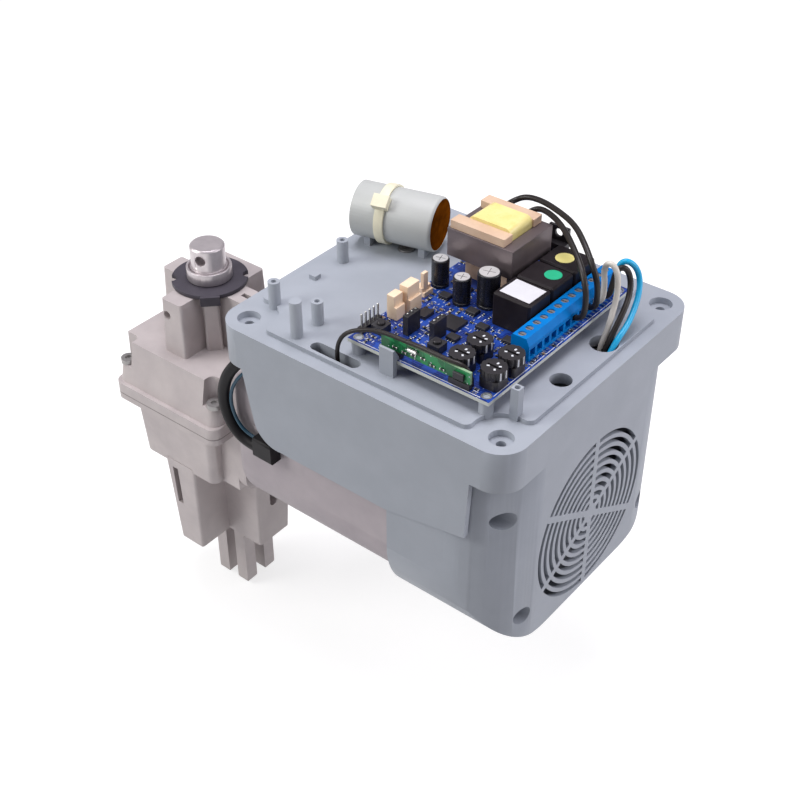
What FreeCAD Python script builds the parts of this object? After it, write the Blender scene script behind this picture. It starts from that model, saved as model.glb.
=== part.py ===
import FreeCAD, Part
import math
import os

# Up-and-over gate opener: a worm gear-motor whose output shaft stands upright in a tower
# that plugs into a guide rail, with a fan-cooled motor beside it and a plastic tray of
# control electronics on top. Millimetres. The origin is on the output shaft's axis, level
# with the rim of its collar; +Z is up the shaft and +X runs from the gearbox to the fan.

V = FreeCAD.Vector
AX, AY, AZ = V(1, 0, 0), V(0, 1, 0), V(0, 0, 1)

# Fits and gaps
RUNNING_GAP = 0.05      # radial clearance of a shaft in its bearing or bush
FREE_GAP = 0.4          # between pieces that turn past each other
SEAM_GAP = 0.3          # between neighbouring mouldings

# Worm and wheel
MODULE = 2.0
WHEEL_TEETH = 20
WORM_PITCH_R = 10.0
MESH_BACKLASH = 0.4     # taken off the thickness of each tooth and of the thread
ADDENDUM = 0.85 * MODULE
DEDENDUM = 1.2 * MODULE
PRESSURE_ANGLE = math.radians(20)
WHEEL_WIDTH = 12.0
WORM_HALF_LENGTH = 14.0
WHEEL_PITCH_R = MODULE * WHEEL_TEETH / 2
CENTRE_DISTANCE = WHEEL_PITCH_R + WORM_PITCH_R
WORM_AXIS_Y = CENTRE_DISTANCE
WORM_AXIS_Z = -65.0
WHEEL_TIP_R = WHEEL_PITCH_R + ADDENDUM
WORM_TIP_R = WORM_PITCH_R + ADDENDUM
WORM_ROOT_R = WORM_PITCH_R - DEDENDUM

# Output shaft, standing on the origin's axis
SHAFT_END_R = 8.0
SHAFT_END_LENGTH = 11.0
SHAFT_JOURNAL_R = 8.5
SHAFT_SEAT_R = 9.5
SHAFT_FOOT_R = 8.0
SHAFT_FOOT_Z = -96.0
CROSS_HOLE_R = 2.5
CROSS_HOLE_BELOW_TOP = 5.2
CROSS_HOLE_TURN = -71.0
SHAFT_SEAM_TURN = 52.5    # from the cross hole round to the start of the ground surface
COLLAR_R = 10.4
COLLAR_HEIGHT = 5.7
COLLAR_RIM_WALL = 1.1
COLLAR_RIM_DEPTH = 3.0
KEY_WIDTH = 5.0
KEY_LENGTH = 10.0

# Gearbox castings
CHAMBER_GAP = 0.9
CHAMBER_R = WHEEL_TIP_R + CHAMBER_GAP
CHAMBER_HALF_HEIGHT = WHEEL_WIDTH / 2 + 2.0
TUNNEL_R = WORM_TIP_R + 0.8
PART_Z = WORM_AXIS_Z + 1.0
GASKET = 0.5
FLANGE_X0, FLANGE_X1 = -32.5, 34.0
FLANGE_Y0, FLANGE_Y1 = -38.0, 48.0
FLANGE_CORNER = 5.0
LID_FLANGE = 5.5
BODY_FLANGE = 3.0
LID_TOP_Z = -36.0
LID_INSET = 2.0
LID_DRAFT = 4.5
POCKET_Z = -49.0
POCKET_SIDE = 9.5
BODY_HALF_X = 25.5
BODY_Y0, BODY_Y1 = -33.0, 46.0
BODY_FOOT_Z = -99.0
BODY_DRAFT = 1.6
BODY_CORNER = 4.0
BOSS_R = 14.0
BOSS_X0 = -30.0
BOSS_LENGTH = 9.5
BUSH_WALL = 2.0
UPPER_BUSH_LENGTH = 22.0
LOWER_BUSH_LENGTH = 18.0
LID_SCREW_INSET = 4.8
LID_SCREW_R = 2.0
LID_SCREW_HEAD_R = 3.5
LID_SCREW_HEAD = 2.4

# Rail towers above and below the gearbox
UPPER_LUG_TOP_Z = -8.0
UPPER_LUG_REACH = 25.0
UPPER_LUG_WIDTH = 12.0
REAR_LUG_REACH = 22.0
REAR_LUG_WIDTH = 25.4
UPPER_CORE_R = 13.5
UPPER_RIB_REACH = 16.5
UPPER_RIB_WIDTH = 7.0
LUG_DRAFT = 0.9
LUG_HOLE_R = 2.1
LUG_HOLE_DEPTH = 12.0
LUG_HOLE_BELOW_TOP = 8.0
LUG_HOLE_OFFSET = -3.0
LUG_SLOT_LENGTH = 7.0
LUG_SLOT_WIDTH = 2.4
LUG_SLOT_DEPTH = 5.0
LOWER_LUG_FOOT_Z = -150.0
LOWER_LUG_REACH = 29.5
LOWER_LUG_WIDTH = 15.0      # front and rear
LOWER_SIDE_LUG_WIDTH = 20.8
LOWER_LUG_DRAFT = 2.2
LOWER_SLOT_WIDTH = 3.5
LOWER_SLOT_LENGTH = 23.0
LOWER_EYE_R = 2.5
LOWER_EYE_LENGTH = 11.5
LOWER_EYE_BELOW_BODY = 24.0
LOWER_EYE_DEPTH = 9.0
PRONG_TIP_Z = -189.0
PRONG_SIDE = 7.0
PRONG_PITCH = 13.3
PRONG_CENTRE = (4.0, 2.8)
PRONG_ROUND = 3.0
SEAL_R = 17.6
SEAL_THICKNESS = 2.0
SEAL_NOTCH_R = 2.6
SEAL_TAB_WIDTH = 9.0
SEAL_TAB_DROP = 2.6
SEAL_TAB = 1.6

# Motor
MOTOR_X0 = 40.0
MOTOR_X1 = 146.0
MOTOR_HALF_WIDTH = 60.0
MOTOR_ABOVE = 45.0
MOTOR_BELOW = 39.0
MOTOR_TOP_CORNER = 12.0
MOTOR_LOW_CORNER = 28.0
MOTOR_END_ROUND = 4.0
MOTOR_RIB_Z = -49.5
MOTOR_RIB_HEIGHT = 2.0
MOTOR_RIB_START = 14.0
MOTOR_BOSS_LENGTH = 24.0
MOTOR_RIB_PROUD = 1.2
NECK_PLATE_X0 = FLANGE_X1
NECK_PLATE_HALF_WIDTH = 56.0
NECK_PLATE_TOP_Z = -24.0
NECK_CORNER = 8.0
STATOR_R = 34.5
STATOR_BORE_R = 22.0
STATOR_X0, STATOR_X1 = 62.0, 126.0
STATOR_SLOTS = 12
SLOT_R = 3.4
WINDING_LENGTH = 7.0
ROTOR_GAP = 0.5
ROTOR_SEAT_R = 9.0
FRONT_BEARING_BORE_R = 7.5
FRONT_BEARING_R = 17.5
FRONT_BEARING_WIDTH = 11.0
FRONT_WALL = 13.0
REAR_BEARING_BORE_R = 6.0
REAR_BEARING_R = 16.0
REAR_BEARING_WIDTH = 10.0
END_BEARING_BORE_R = 5.0
END_BEARING_R = 9.5
END_BEARING_WIDTH = 7.0
END_SHIELD_LIP = 3.5
END_SHIELD_THICKNESS = 5.0
END_SHIELD_WINDOWS = 6
END_SHIELD_WINDOW_R = 6.0
MOTOR_SCREW_Y = 49.0
MOTOR_SCREW_LOW = -25.0
MOTOR_SCREW_TOP_Y = 40.0
MOTOR_SCREW_HIGH = 35.0
MOTOR_SCREW_R = 2.5
MOTOR_SCREW_HEAD_R = 4.25
MOTOR_SCREW_HEAD = 4.5
MOTOR_SCREW_GRIP = 9.0

# Fan and its shroud
FAN_R = 36.0
FAN_X0 = 159.0
FAN_HUB_R = 11.0
FAN_SEAT_R = 5.0
FAN_LENGTH = 20.0
FAN_PLATE = 2.0
FAN_BLADES = 8
FAN_BLADE = 1.8
SHROUD_X0 = 134.5
SHROUD_X1 = 191.5
SHROUD_STEP = 1.5       # how far its sides stand in from the tray's
SHROUD_FIT = 0.5        # round the motor, and between the tray's bosses and the shroud
SHROUD_LOW_CORNER = 38.0
SHROUD_UPRIGHT_CORNER = 28.0
SHROUD_WALL = 2.5
GRILLE_R = 39.5
GRILLE_SLOTS = 9
GRILLE_PITCH = 4.1
GRILLE_SLOT = 2.2
GRILLE_SPOKE = 3.0
GRILLE_SPOKES = 6
SHROUD_SCREW_HIGH = 32.0
SHROUD_SCREW_LOW = -25.0
SHROUD_SCREW_STEP_IN = 10.0
SHROUD_POCKET_R = 4.4
SHROUD_SLEEVE_R = 6.2
SHROUD_SCREW_SEAT = 4.0
SHROUD_SCREW_R = 2.0
SHROUD_SCREW_HEAD_R = 3.6
SHROUD_SCREW_HEAD = 3.0
SHROUD_SCREW_GRIP = 12.0

# Electronics tray
TRAY_X0, TRAY_X1 = 43.0, 193.0
TRAY_OVERHANG = 9.0     # beyond the motor on each side
TRAY_RIM_Z = 8.0
TRAY_FLOOR = 3.0
TRAY_WALL = 2.5
TRAY_CORNER = 12.0
TRAY_BAND = 19.0
SKIRT_FOOT_Z = -46.5
SKIRT_END_Z = -39.5
SKIRT_X0 = 54.0
SKIRT_TOE_X = 72.0
SKIRT_X1 = 176.0
PANEL_HEIGHT = 2.0
PANEL_INSET_X = 5.5
PANEL_INSET_Y = 6.0
PANEL_NOTCH_R = 12.5
COVER_SCREW_INSET = 10.5
COVER_SCREW_R = 2.0
COUNTERBORE_R = 5.0
COUNTERBORE_DEPTH = 3.0
COVER_BOSS_R = 6.2
COVER_BOSS_DEPTH = 10.0
WIRE_SLOT_X0, WIRE_SLOT_X1 = 89.0, 114.0
WIRE_SLOT_Y = -28.7
WIRE_SLOT_WIDTH = 5.5
LEAD_HOLE = (180.9, 45.2)
LEAD_HOLE_R = 6.0
SPARE_HOLE = (181.0, 13.5)
SPARE_HOLE_R = 4.6
TRAY_SCREW_FRONT = ((72.0, 54.0), (112.0, -12.0))
TRAY_SCREW_REAR_Y = (-12.0, 64.0)
TRAY_SCREW_SINK = 2.0
TRAY_BOSS_R = 5.0
TRAY_SCREW_R = 2.0
TRAY_SCREW_HEAD_R = 3.6
TRAY_SCREW_HEAD = 2.6
TRAY_SCREW_GRIP = 8.0
TALL_POST = (80.5, -28.3)
TALL_POST_HEIGHT = 17.0
POST_HEIGHT = 10.8
POSTS = ((80.8, -15.8), (56.6, -15.8), (56.7, 28.0))
POST_R = 2.6
POST_HOLE_R = 1.2
LOCATING_BUMP = (56.5, 9.7)
LOCATING_BUMP_SIDE = 3.6
COVER_POST = (179.7, -15.3)
COVER_POST_SIDE = 3.6
COVER_POST_HEIGHT = 12.5
BOARD_CLIP_X = 126.0
BOARD_CLIP_WIDTH = 7.0
BOARD_CLIP_HEIGHT = 12.5

# Control board and what is soldered on it
BOARD_X0, BOARD_X1 = 104.0, 173.0
BOARD_Y0, BOARD_Y1 = -24.0, 77.0
BOARD_RISE = 5.4
BOARD_THICKNESS = 1.6
BOARD_HOLE_INSET = 3.2
BOARD_HOLE_R = 1.6
STANDOFF_R = 3.0
PEG_R = 1.4
PEG_SHY = 0.5
TRIMMER_X = (152.5, 167.4)
TRIMMER_Y = (-13.2, -1.6)
TRIMMER_SIDE = 8.6
TRIMMER_BASE = 4.4
TRIMMER_KNOB_R = 5.25
TRIMMER_KNOB = 3.6
TRIMMER_STEM_R = 2.0
TRIMMER_STEM = 3.0
TRIMMER_FLUTES = 12
TACT_PLACES = ((137.0, -8.5), (111.5, -12.0))
TACT_SIDE = 6.0
TACT_BODY = 3.6
TACT_BUTTON_R = 1.75
TACT_BUTTON_PROUD = 1.2
TACT_BUTTON_DEPTH = 1.2
TACT_TRAVEL = 0.3
TERMINAL_X0, TERMINAL_X1 = 161.0, 169.6
TERMINAL_Y0 = 7.0
TERMINAL_POLES = 13
TERMINAL_PITCH = 5.0
TERMINAL_HEIGHT = 10.0
TERMINAL_SCREW_R = 1.7
TERMINAL_SCREW_X = 164.4
TERMINAL_WELL = 2.0
TERMINAL_MOUTH_W, TERMINAL_MOUTH_H = 3.4, 3.6
TERMINAL_MOUTH_Z = 1.6
TERMINAL_MOUTH_DEPTH = 4.0
RELAY_X0, RELAY_X1 = 142.4, 160.4
RELAY_Y0 = 20.0
RELAY_WIDTH = 15.6
RELAY_PITCH = 16.3
RELAY_COUNT = 3
RELAY_HEIGHT = 15.0
RELAY_EDGE = 0.8
CORE_X0, CORE_X1 = 107.0, 140.0
CORE_Y0, CORE_Y1 = 37.0, 66.0
CORE_RISE = 11.0
CORE_STACK = 13.0
CORE_LEG = 5.5
CORE_MIDDLE_LEG = 10.0
COIL_TOP = 29.0
BOBBIN_WALL = 1.4
BOBBIN_RAIL = 3.6
BOBBIN_INSET = 0.8
BOBBIN_RAIL_SHORT = 5.0
ELCO_PLACES = ((108.7, 30.5, 3.8, 13.0), (124.0, 25.0, 3.8, 12.5), (133.6, 30.3, 4.8, 16.0))
ELCO_GROOVE_Z = 1.8
RECEIVER_X0, RECEIVER_X1 = 120.0, 163.0
RECEIVER_Y = -21.6
RECEIVER_THICKNESS = 1.2
RECEIVER_LIFT = 2.5
RECEIVER_FOOT = 10.0
RECEIVER_HEIGHT = 8.0
PLUG_PLACES = ((109.5, 0.0, 5.0, 5.6, 11.0), (111.0, 7.6, 5.6, 7.6, 13.0), (107.6, 21.0, 5.0, 6.0, 4.0))
PLUG_LATCH = (108.4, 20.0, 1.6, 3.0, 11.0)
HEADER_PLACES = ((121.0, -4.4), (132.0, -1.5))
HEADER_LENGTH = 8.0
HEADER_WIDTH = 2.6
HEADER_HEIGHT = 9.0
CHIP_PLACES = ((131.0, 9.5, 9.0, 9.0, 1.4), (146.0, 8.0, 6.0, 5.0, 1.6), (118.0, 8.0, 5.0, 6.4, 1.6))
PIN_PLACE = (106.0, -17.4)
PIN_COUNT = 5
PIN_PITCH = 2.54
PIN_SIDE = 0.64
PIN_HEIGHT = 8.5
TRIAC_PLACE = (139.0, 71.8)
TRIAC_WIDTH = 10.0
TRIAC_BODY = 4.5
TRIAC_HEIGHT = 17.0
TRIAC_LEG = 3.0

# Motor capacitor, tied down across the tray
CAN_CENTRE = (67.4, 55.6)
CAN_TURN = 14.5
CAN_R = 12.5
CAN_LENGTH = 39.0
CAN_RISE = 1.8
CAN_WALL = 0.9
CAN_RECESS = 2.5
END_DISC = 2.0
TIE_FROM_END = 12.0
TIE_WIDTH = 4.5
TIE_THICKNESS = 1.1
TIE_HEAD = 6.0
TIE_HEAD_PROUD = 3.6
TIE_HEAD_WIDTH = 7.5
TIE_HEAD_TURN = 42.0
CRADLE_WIDTH = 3.0

# Loose leads, where they enter the motor, and where their hidden ends are held
LEAD_R = 1.25
AERIAL_R = 0.9
CABLE_R = 2.7
SIGNAL_R = 0.8
GROMMET_X0, GROMMET_X1 = 57.0, 68.0
GROMMET_Z0, GROMMET_Z1 = -60.5, -50.0
GROMMET_PROUD = 6.3
CLAMP_X0, CLAMP_X1 = 72.0, 77.0
CLAMP_Y0, CLAMP_Y1 = -30.0, -20.0
CLAMP_FOOT_Z = -11.0
PLUG_X0, PLUG_X1 = 175.5, 187.0
PLUG_Y0, PLUG_Y1 = 39.5, 49.5
PLUG_TOP_Z = -3.0

# Places worked out from the sizes above
MOTOR_Y, MOTOR_Z = WORM_AXIS_Y, WORM_AXIS_Z
MOTOR_SIDE_Y = MOTOR_Y - MOTOR_HALF_WIDTH
MOTOR_TOP_Z = MOTOR_Z + MOTOR_ABOVE
TRAY_HALF_WIDTH = MOTOR_HALF_WIDTH + TRAY_OVERHANG
TRAY_Y0, TRAY_Y1 = MOTOR_Y - TRAY_HALF_WIDTH, MOTOR_Y + TRAY_HALF_WIDTH
SHROUD_HALF_WIDTH = TRAY_HALF_WIDTH - SHROUD_STEP
SHROUD_BELOW = MOTOR_BELOW + SHROUD_FIT + SHROUD_WALL
SHROUD_LINING_Y = TRAY_HALF_WIDTH - TRAY_WALL - SEAM_GAP
SHROUD_SCREW_Y = SHROUD_LINING_Y - SHROUD_WALL - SHROUD_SLEEVE_R - SHROUD_FIT
NECK_PLATE_Y0 = MOTOR_Y - NECK_PLATE_HALF_WIDTH
END_SHIELD_R = STATOR_R + END_SHIELD_LIP
GROMMET_Y0 = MOTOR_SIDE_Y - GROMMET_PROUD
TRAY_SCREW_REAR_X = SHROUD_X0 - TRAY_BOSS_R - SHROUD_FIT
TRAY_SCREWS = list(TRAY_SCREW_FRONT) + [(TRAY_SCREW_REAR_X, y) for y in TRAY_SCREW_REAR_Y]
FLOOR_UNDER_Z = TRAY_RIM_Z - TRAY_FLOOR
PANEL_Z = TRAY_RIM_Z + PANEL_HEIGHT
BAND_FOOT_Z = TRAY_RIM_Z - TRAY_BAND
BOARD_Z0 = PANEL_Z + BOARD_RISE
BOARD_Z = BOARD_Z0 + BOARD_THICKNESS
SHROUD_ROOF_Z = BAND_FOOT_Z - SEAM_GAP
SEAL_TOP_Z = UPPER_LUG_TOP_Z + SEAL_THICKNESS
COVER_SCREWS = [(x, y)
                for x in (TRAY_X0 + COVER_SCREW_INSET, TRAY_X1 - COVER_SCREW_INSET)
                for y in (TRAY_Y0 + COVER_SCREW_INSET, TRAY_Y1 - COVER_SCREW_INSET)]
BOARD_HOLES = [(x, y)
               for x in (BOARD_X0 + BOARD_HOLE_INSET, BOARD_X1 - BOARD_HOLE_INSET)
               for y in (BOARD_Y0 + BOARD_HOLE_INSET, BOARD_Y1 - BOARD_HOLE_INSET)]
LID_SCREWS = [(x, y)
              for x in (FLANGE_X0 + LID_SCREW_INSET, FLANGE_X1 - LID_SCREW_INSET)
              for y in (FLANGE_Y0 + LID_INSET + LID_SCREW_INSET, FLANGE_Y1 - LID_SCREW_INSET)]
MOTOR_SCREWS = [(-MOTOR_SCREW_TOP_Y, MOTOR_SCREW_HIGH), (MOTOR_SCREW_TOP_Y, MOTOR_SCREW_HIGH),
                (MOTOR_SCREW_Y, MOTOR_SCREW_LOW)]
SHROUD_SCREWS = [(side * y, z)
                 for side in (-1, 1)
                 for y, z in ((SHROUD_SCREW_Y, SHROUD_SCREW_HIGH),
                              (SHROUD_SCREW_Y - SHROUD_SCREW_STEP_IN, SHROUD_SCREW_LOW))]


def box(x0, x1, y0, y1, z0, z1):
    return Part.makeBox(x1 - x0, y1 - y0, z1 - z0, V(x0, y0, z0))


def upright(radius, x, y, z0, z1):
    return Part.makeCylinder(radius, z1 - z0, V(x, y, z0), AZ)


def along_x(radius, x0, x1, y=MOTOR_Y, z=MOTOR_Z):
    return Part.makeCylinder(radius, x1 - x0, V(x0, y, z), AX)


def fuse(shapes):
    return shapes[0].multiFuse(shapes[1:]).removeSplitter()


def rounded_wire(x0, x1, y0, y1, z, radius):
    """Rectangle with rounded corners, lying level at z."""
    corners = ((x1 - radius, y0 + radius, -90), (x1 - radius, y1 - radius, 0),
               (x0 + radius, y1 - radius, 90), (x0 + radius, y0 + radius, 180))
    edges = []
    ends = []
    for cx, cy, start in corners:
        circle = Part.Circle(V(cx, cy, z), AZ, radius)
        arc = Part.ArcOfCircle(circle, math.radians(start), math.radians(start + 90))
        ends.append((arc.StartPoint, arc.EndPoint))
        edges.append(arc.toShape())
    for i, (first, last) in enumerate(ends):
        edges.append(Part.LineSegment(last, ends[(i + 1) % 4][0]).toShape())
    return Part.Wire(Part.__sortEdges__(edges))


def slab(x0, x1, y0, y1, z0, z1, radius):
    return Part.Face(rounded_wire(x0, x1, y0, y1, z0, radius)).extrude(V(0, 0, z1 - z0))


def tapered(low, high, z0, z1, radius):
    """Rounded block whose sides lean from the rectangle low at z0 to high at z1."""
    wires = [rounded_wire(*low, z0, radius), rounded_wire(*high, z1, radius)]
    return Part.makeLoft(wires, True, True)


def motor_section(x0, x1, half, above, below, top_round, low_round):
    """Prism along X round the motor axis, with its own upper and lower corner radii."""
    y0, y1 = MOTOR_Y - half, MOTOR_Y + half
    z0, z1 = MOTOR_Z - below, MOTOR_Z + above
    corners = ((y1 - low_round, z0 + low_round, -90, low_round),
               (y1 - top_round, z1 - top_round, 0, top_round),
               (y0 + top_round, z1 - top_round, 90, top_round),
               (y0 + low_round, z0 + low_round, 180, low_round))
    edges = []
    ends = []
    for cy, cz, start, radius in corners:
        circle = Part.Circle(V(x0, cy, cz), AX, radius)
        circle.XAxis = AY
        arc = Part.ArcOfCircle(circle, math.radians(start), math.radians(start + 90))
        ends.append((arc.StartPoint, arc.EndPoint))
        edges.append(arc.toShape())
    for i, (first, last) in enumerate(ends):
        edges.append(Part.LineSegment(last, ends[(i + 1) % 4][0]).toShape())
    wire = Part.Wire(Part.__sortEdges__(edges))
    return Part.Face(wire).extrude(V(x1 - x0, 0, 0))


def cap_screw(radius, length, head_r, head, place, axis):
    """Socket screw with its head's seat at place, the shank running along axis."""
    shank = Part.makeCylinder(radius, length, place, axis)
    cap = Part.makeCylinder(head_r, head, place - axis * head, axis)
    socket = Part.makeCylinder(head_r * 0.45, head * 0.5, place - axis * head, axis)
    return shank.fuse(cap).cut(socket).removeSplitter()


def ring(outer, inner, x0, x1):
    return along_x(outer, x0, x1).cut(along_x(inner, x0, x1))


def turned(shape, degrees):
    shape.rotate(V(0, 0, 0), AZ, degrees)
    return shape


def lug(reach, width, z0, z1, lean, side):
    """One rail lug: a block out from the axis along +X, narrowing away from the gearbox."""
    root, tip = (z0, z1) if z1 > z0 else (z1, z0)
    grow0, grow1 = (lean, 0.0) if z1 > z0 else (0.0, lean)
    low = (0.0, reach + grow0, -width / 2 - grow0, width / 2 + grow0)
    high = (0.0, reach + grow1, -width / 2 - grow1, width / 2 + grow1)
    return turned(tapered(low, high, root, tip, 1.2), side)


def gear_space():
    """Grease space inside the castings: wheel chamber, worm tunnel and end bearing seat."""
    chamber = upright(CHAMBER_R, 0, 0, WORM_AXIS_Z - CHAMBER_HALF_HEIGHT, WORM_AXIS_Z + CHAMBER_HALF_HEIGHT)
    tunnel = along_x(TUNNEL_R, -WORM_HALF_LENGTH - 1.5, MOTOR_X0)
    seat = along_x(END_BEARING_R, -WORM_HALF_LENGTH - 1.5 - END_BEARING_WIDTH, -WORM_HALF_LENGTH)
    return fuse([chamber, tunnel, seat])


def flange_outline(z0, z1):
    return slab(FLANGE_X0, FLANGE_X1, FLANGE_Y0, FLANGE_Y1, z0, z1, FLANGE_CORNER)


def screw_shafts(z0, z1):
    return [upright(LID_SCREW_R, x, y, z0, z1) for x, y in LID_SCREWS]


def upper_tower():
    base = LID_TOP_Z - 2.0
    pieces = [upright(UPPER_CORE_R, 0, 0, base, UPPER_LUG_TOP_Z)]
    for side in (-90, 0, 180):
        pieces.append(lug(UPPER_LUG_REACH, UPPER_LUG_WIDTH, base, UPPER_LUG_TOP_Z, LUG_DRAFT, side))
    pieces.append(lug(REAR_LUG_REACH, REAR_LUG_WIDTH, base, UPPER_LUG_TOP_Z, LUG_DRAFT, 90))
    for side in (-45, 45, 135, 225):
        pieces.append(lug(UPPER_RIB_REACH, UPPER_RIB_WIDTH, base, UPPER_LUG_TOP_Z, LUG_DRAFT / 2, side))
    return fuse(pieces)


def lug_hole():
    """Tapped hole for a rail bolt, in the outer face of the front lug."""
    start = UPPER_LUG_REACH - LUG_HOLE_DEPTH
    hole_z = UPPER_LUG_TOP_Z - LUG_HOLE_BELOW_TOP
    hole = along_x(LUG_HOLE_R, start, UPPER_LUG_REACH + 5, LUG_HOLE_OFFSET, hole_z)
    return turned(hole, -90)


def lug_slot():
    """Short keying notch in the top edge of the lug beside the motor."""
    x1 = UPPER_LUG_REACH + 2.5
    return box(x1 - LUG_SLOT_LENGTH, x1, -LUG_SLOT_WIDTH / 2, LUG_SLOT_WIDTH / 2,
               UPPER_LUG_TOP_Z - LUG_SLOT_DEPTH, UPPER_LUG_TOP_Z)


def worm_end_boss(z0, z1):
    """Round swelling over the worm's outer bearing, kept to one casting's side of the joint."""
    swelling = along_x(BOSS_R, BOSS_X0, BOSS_X0 + BOSS_LENGTH)
    return swelling.common(box(BOSS_X0, BOSS_X0 + BOSS_LENGTH, FLANGE_Y0, FLANGE_Y1, z0, z1))


def make_gearbox_lid():
    z0 = PART_Z + GASKET
    shoulder = z0 + LID_FLANGE
    low = (FLANGE_X0 + 0.5, FLANGE_X1 - 1.0, FLANGE_Y0 + LID_INSET, FLANGE_Y1 - LID_INSET)
    high = (low[0] + 0.6, low[1] - 0.6, low[2] + LID_DRAFT, low[3] - LID_DRAFT)
    lid = fuse([flange_outline(z0, shoulder), tapered(low, high, shoulder - 0.5, LID_TOP_Z, FLANGE_CORNER)])
    pockets = []
    for x, y in LID_SCREWS:
        out_x = 20.0 if x > 0 else -20.0
        out_y = 20.0 if y > 0 else -20.0
        side_x = x - math.copysign(POCKET_SIDE / 2, out_x)
        side_y = y - math.copysign(POCKET_SIDE / 2, out_y)
        spans = sorted((side_x, side_x + out_x)) + sorted((side_y, side_y + out_y))
        pockets.append(slab(*spans, POCKET_Z, LID_TOP_Z + 1, 3.0))
    lid = lid.cut(fuse(pockets))
    boss = worm_end_boss(z0, LID_TOP_Z)
    lid = fuse([lid, boss, upper_tower()])
    bush_z0 = UPPER_LUG_TOP_Z - UPPER_BUSH_LENGTH
    bores = [gear_space(),
             upright(SHAFT_SEAT_R + FREE_GAP, 0, 0, PART_Z, bush_z0),
             upright(SHAFT_JOURNAL_R + BUSH_WALL, 0, 0, bush_z0, UPPER_LUG_TOP_Z)]
    return lid.cut(fuse(bores)).cut(screw_shafts(PART_Z, POCKET_Z) + [lug_hole(), lug_slot()])


def prongs():
    """Four square tongues in a square pattern under the lower tower, with rounded tips."""
    half = PRONG_SIDE / 2
    tongues = []
    for across in (-PRONG_PITCH / 2, PRONG_PITCH / 2):
        for along in (-PRONG_PITCH / 2, PRONG_PITCH / 2):
            x, y = PRONG_CENTRE[0] + across, PRONG_CENTRE[1] + along
            tongue = box(x - half, x + half, y - half, y + half, PRONG_TIP_Z, BODY_FOOT_Z)
            tip = [e for e in tongue.Edges if e.BoundBox.ZMax < PRONG_TIP_Z + 1e-6]
            tongues.append(tongue.makeFillet(PRONG_ROUND, tip))
    return tongues


def lower_tower():
    top = BODY_FOOT_Z + 2.0
    pieces = [upright(SHAFT_FOOT_R + BUSH_WALL + 3.0, 0, 0, LOWER_LUG_FOOT_Z, top)]
    for width, sides in ((LOWER_LUG_WIDTH, (-90, 90)), (LOWER_SIDE_LUG_WIDTH, (0, 180))):
        for side in sides:
            pieces.append(lug(LOWER_LUG_REACH, width, top, LOWER_LUG_FOOT_Z, LOWER_LUG_DRAFT, side))
    return fuse(pieces + prongs())


def lower_tower_openings():
    """Bolt slot in the front lug and an eye through the lug under the motor."""
    top = BODY_FOOT_Z - 3.0
    slot_x = -LOWER_LUG_WIDTH / 4
    slot = slab(slot_x - LOWER_SLOT_WIDTH / 2, slot_x + LOWER_SLOT_WIDTH / 2, -LOWER_LUG_REACH - 6,
                -LOWER_LUG_REACH + 9, top - LOWER_SLOT_LENGTH, top, 0.5)
    half = LOWER_EYE_LENGTH / 2 - LOWER_EYE_R
    eye_z = BODY_FOOT_Z - LOWER_EYE_BELOW_BODY
    start = LOWER_LUG_REACH - LOWER_EYE_DEPTH
    length = 2 * LOWER_EYE_DEPTH
    ends = [Part.makeCylinder(LOWER_EYE_R, length, V(start, 0, eye_z + s * half), AX) for s in (-1, 1)]
    middle = box(start, start + length, -LOWER_EYE_R, LOWER_EYE_R, eye_z - half, eye_z + half)
    return [slot, fuse(ends + [middle])]


def neck_plate():
    return box(NECK_PLATE_X0, MOTOR_X0, NECK_PLATE_Y0, MOTOR_Y + NECK_PLATE_HALF_WIDTH,
               BODY_FOOT_Z, NECK_PLATE_TOP_Z)


def make_gearbox_body():
    low = (-BODY_HALF_X + BODY_DRAFT, BODY_HALF_X - BODY_DRAFT, BODY_Y0 + BODY_DRAFT, BODY_Y1 - BODY_DRAFT)
    high = (-BODY_HALF_X, BODY_HALF_X, BODY_Y0, BODY_Y1)
    flange_z = PART_Z - BODY_FLANGE
    tub = tapered(low, high, BODY_FOOT_Z, flange_z + 0.5, BODY_CORNER)
    web = box(BODY_HALF_X - 6.0, NECK_PLATE_X0 + 1.0, NECK_PLATE_Y0, BODY_Y1 - BODY_DRAFT,
              BODY_FOOT_Z, PART_Z)
    plate = neck_plate()
    corners = [e for e in plate.Edges if abs(e.tangentAt(e.FirstParameter).x) > 0.9]
    plate = plate.makeFillet(NECK_CORNER, corners)
    boss = worm_end_boss(BODY_FOOT_Z, PART_Z)
    body = fuse([flange_outline(flange_z, PART_Z), tub, web, plate, boss, lower_tower()])
    bush_top = WORM_AXIS_Z - CHAMBER_HALF_HEIGHT
    wells = [gear_space(), upright(SHAFT_FOOT_R + BUSH_WALL, 0, 0, SHAFT_FOOT_Z - 1.0, bush_top)]
    holes = screw_shafts(flange_z, PART_Z) + lower_tower_openings()
    for y, z in MOTOR_SCREWS:
        holes.append(along_x(MOTOR_SCREW_R, NECK_PLATE_X0 - 1, MOTOR_X0 + 1, MOTOR_Y + y, MOTOR_Z + z))
    return body.cut(fuse(wells)).cut(holes)


def make_gearbox_gasket():
    sheet = flange_outline(PART_Z, PART_Z + GASKET)
    return sheet.cut(gear_space()).cut(screw_shafts(PART_Z - 1, PART_Z + 2))


def make_lid_screws():
    length = POCKET_Z - (PART_Z - BODY_FLANGE)
    return [cap_screw(LID_SCREW_R, length, LID_SCREW_HEAD_R, LID_SCREW_HEAD, V(x, y, POCKET_Z), -AZ)
            for x, y in LID_SCREWS]


def make_bush(radius, z0, z1):
    return upright(radius + BUSH_WALL, 0, 0, z0, z1).cut(upright(radius + RUNNING_GAP, 0, 0, z0, z1))


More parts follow.
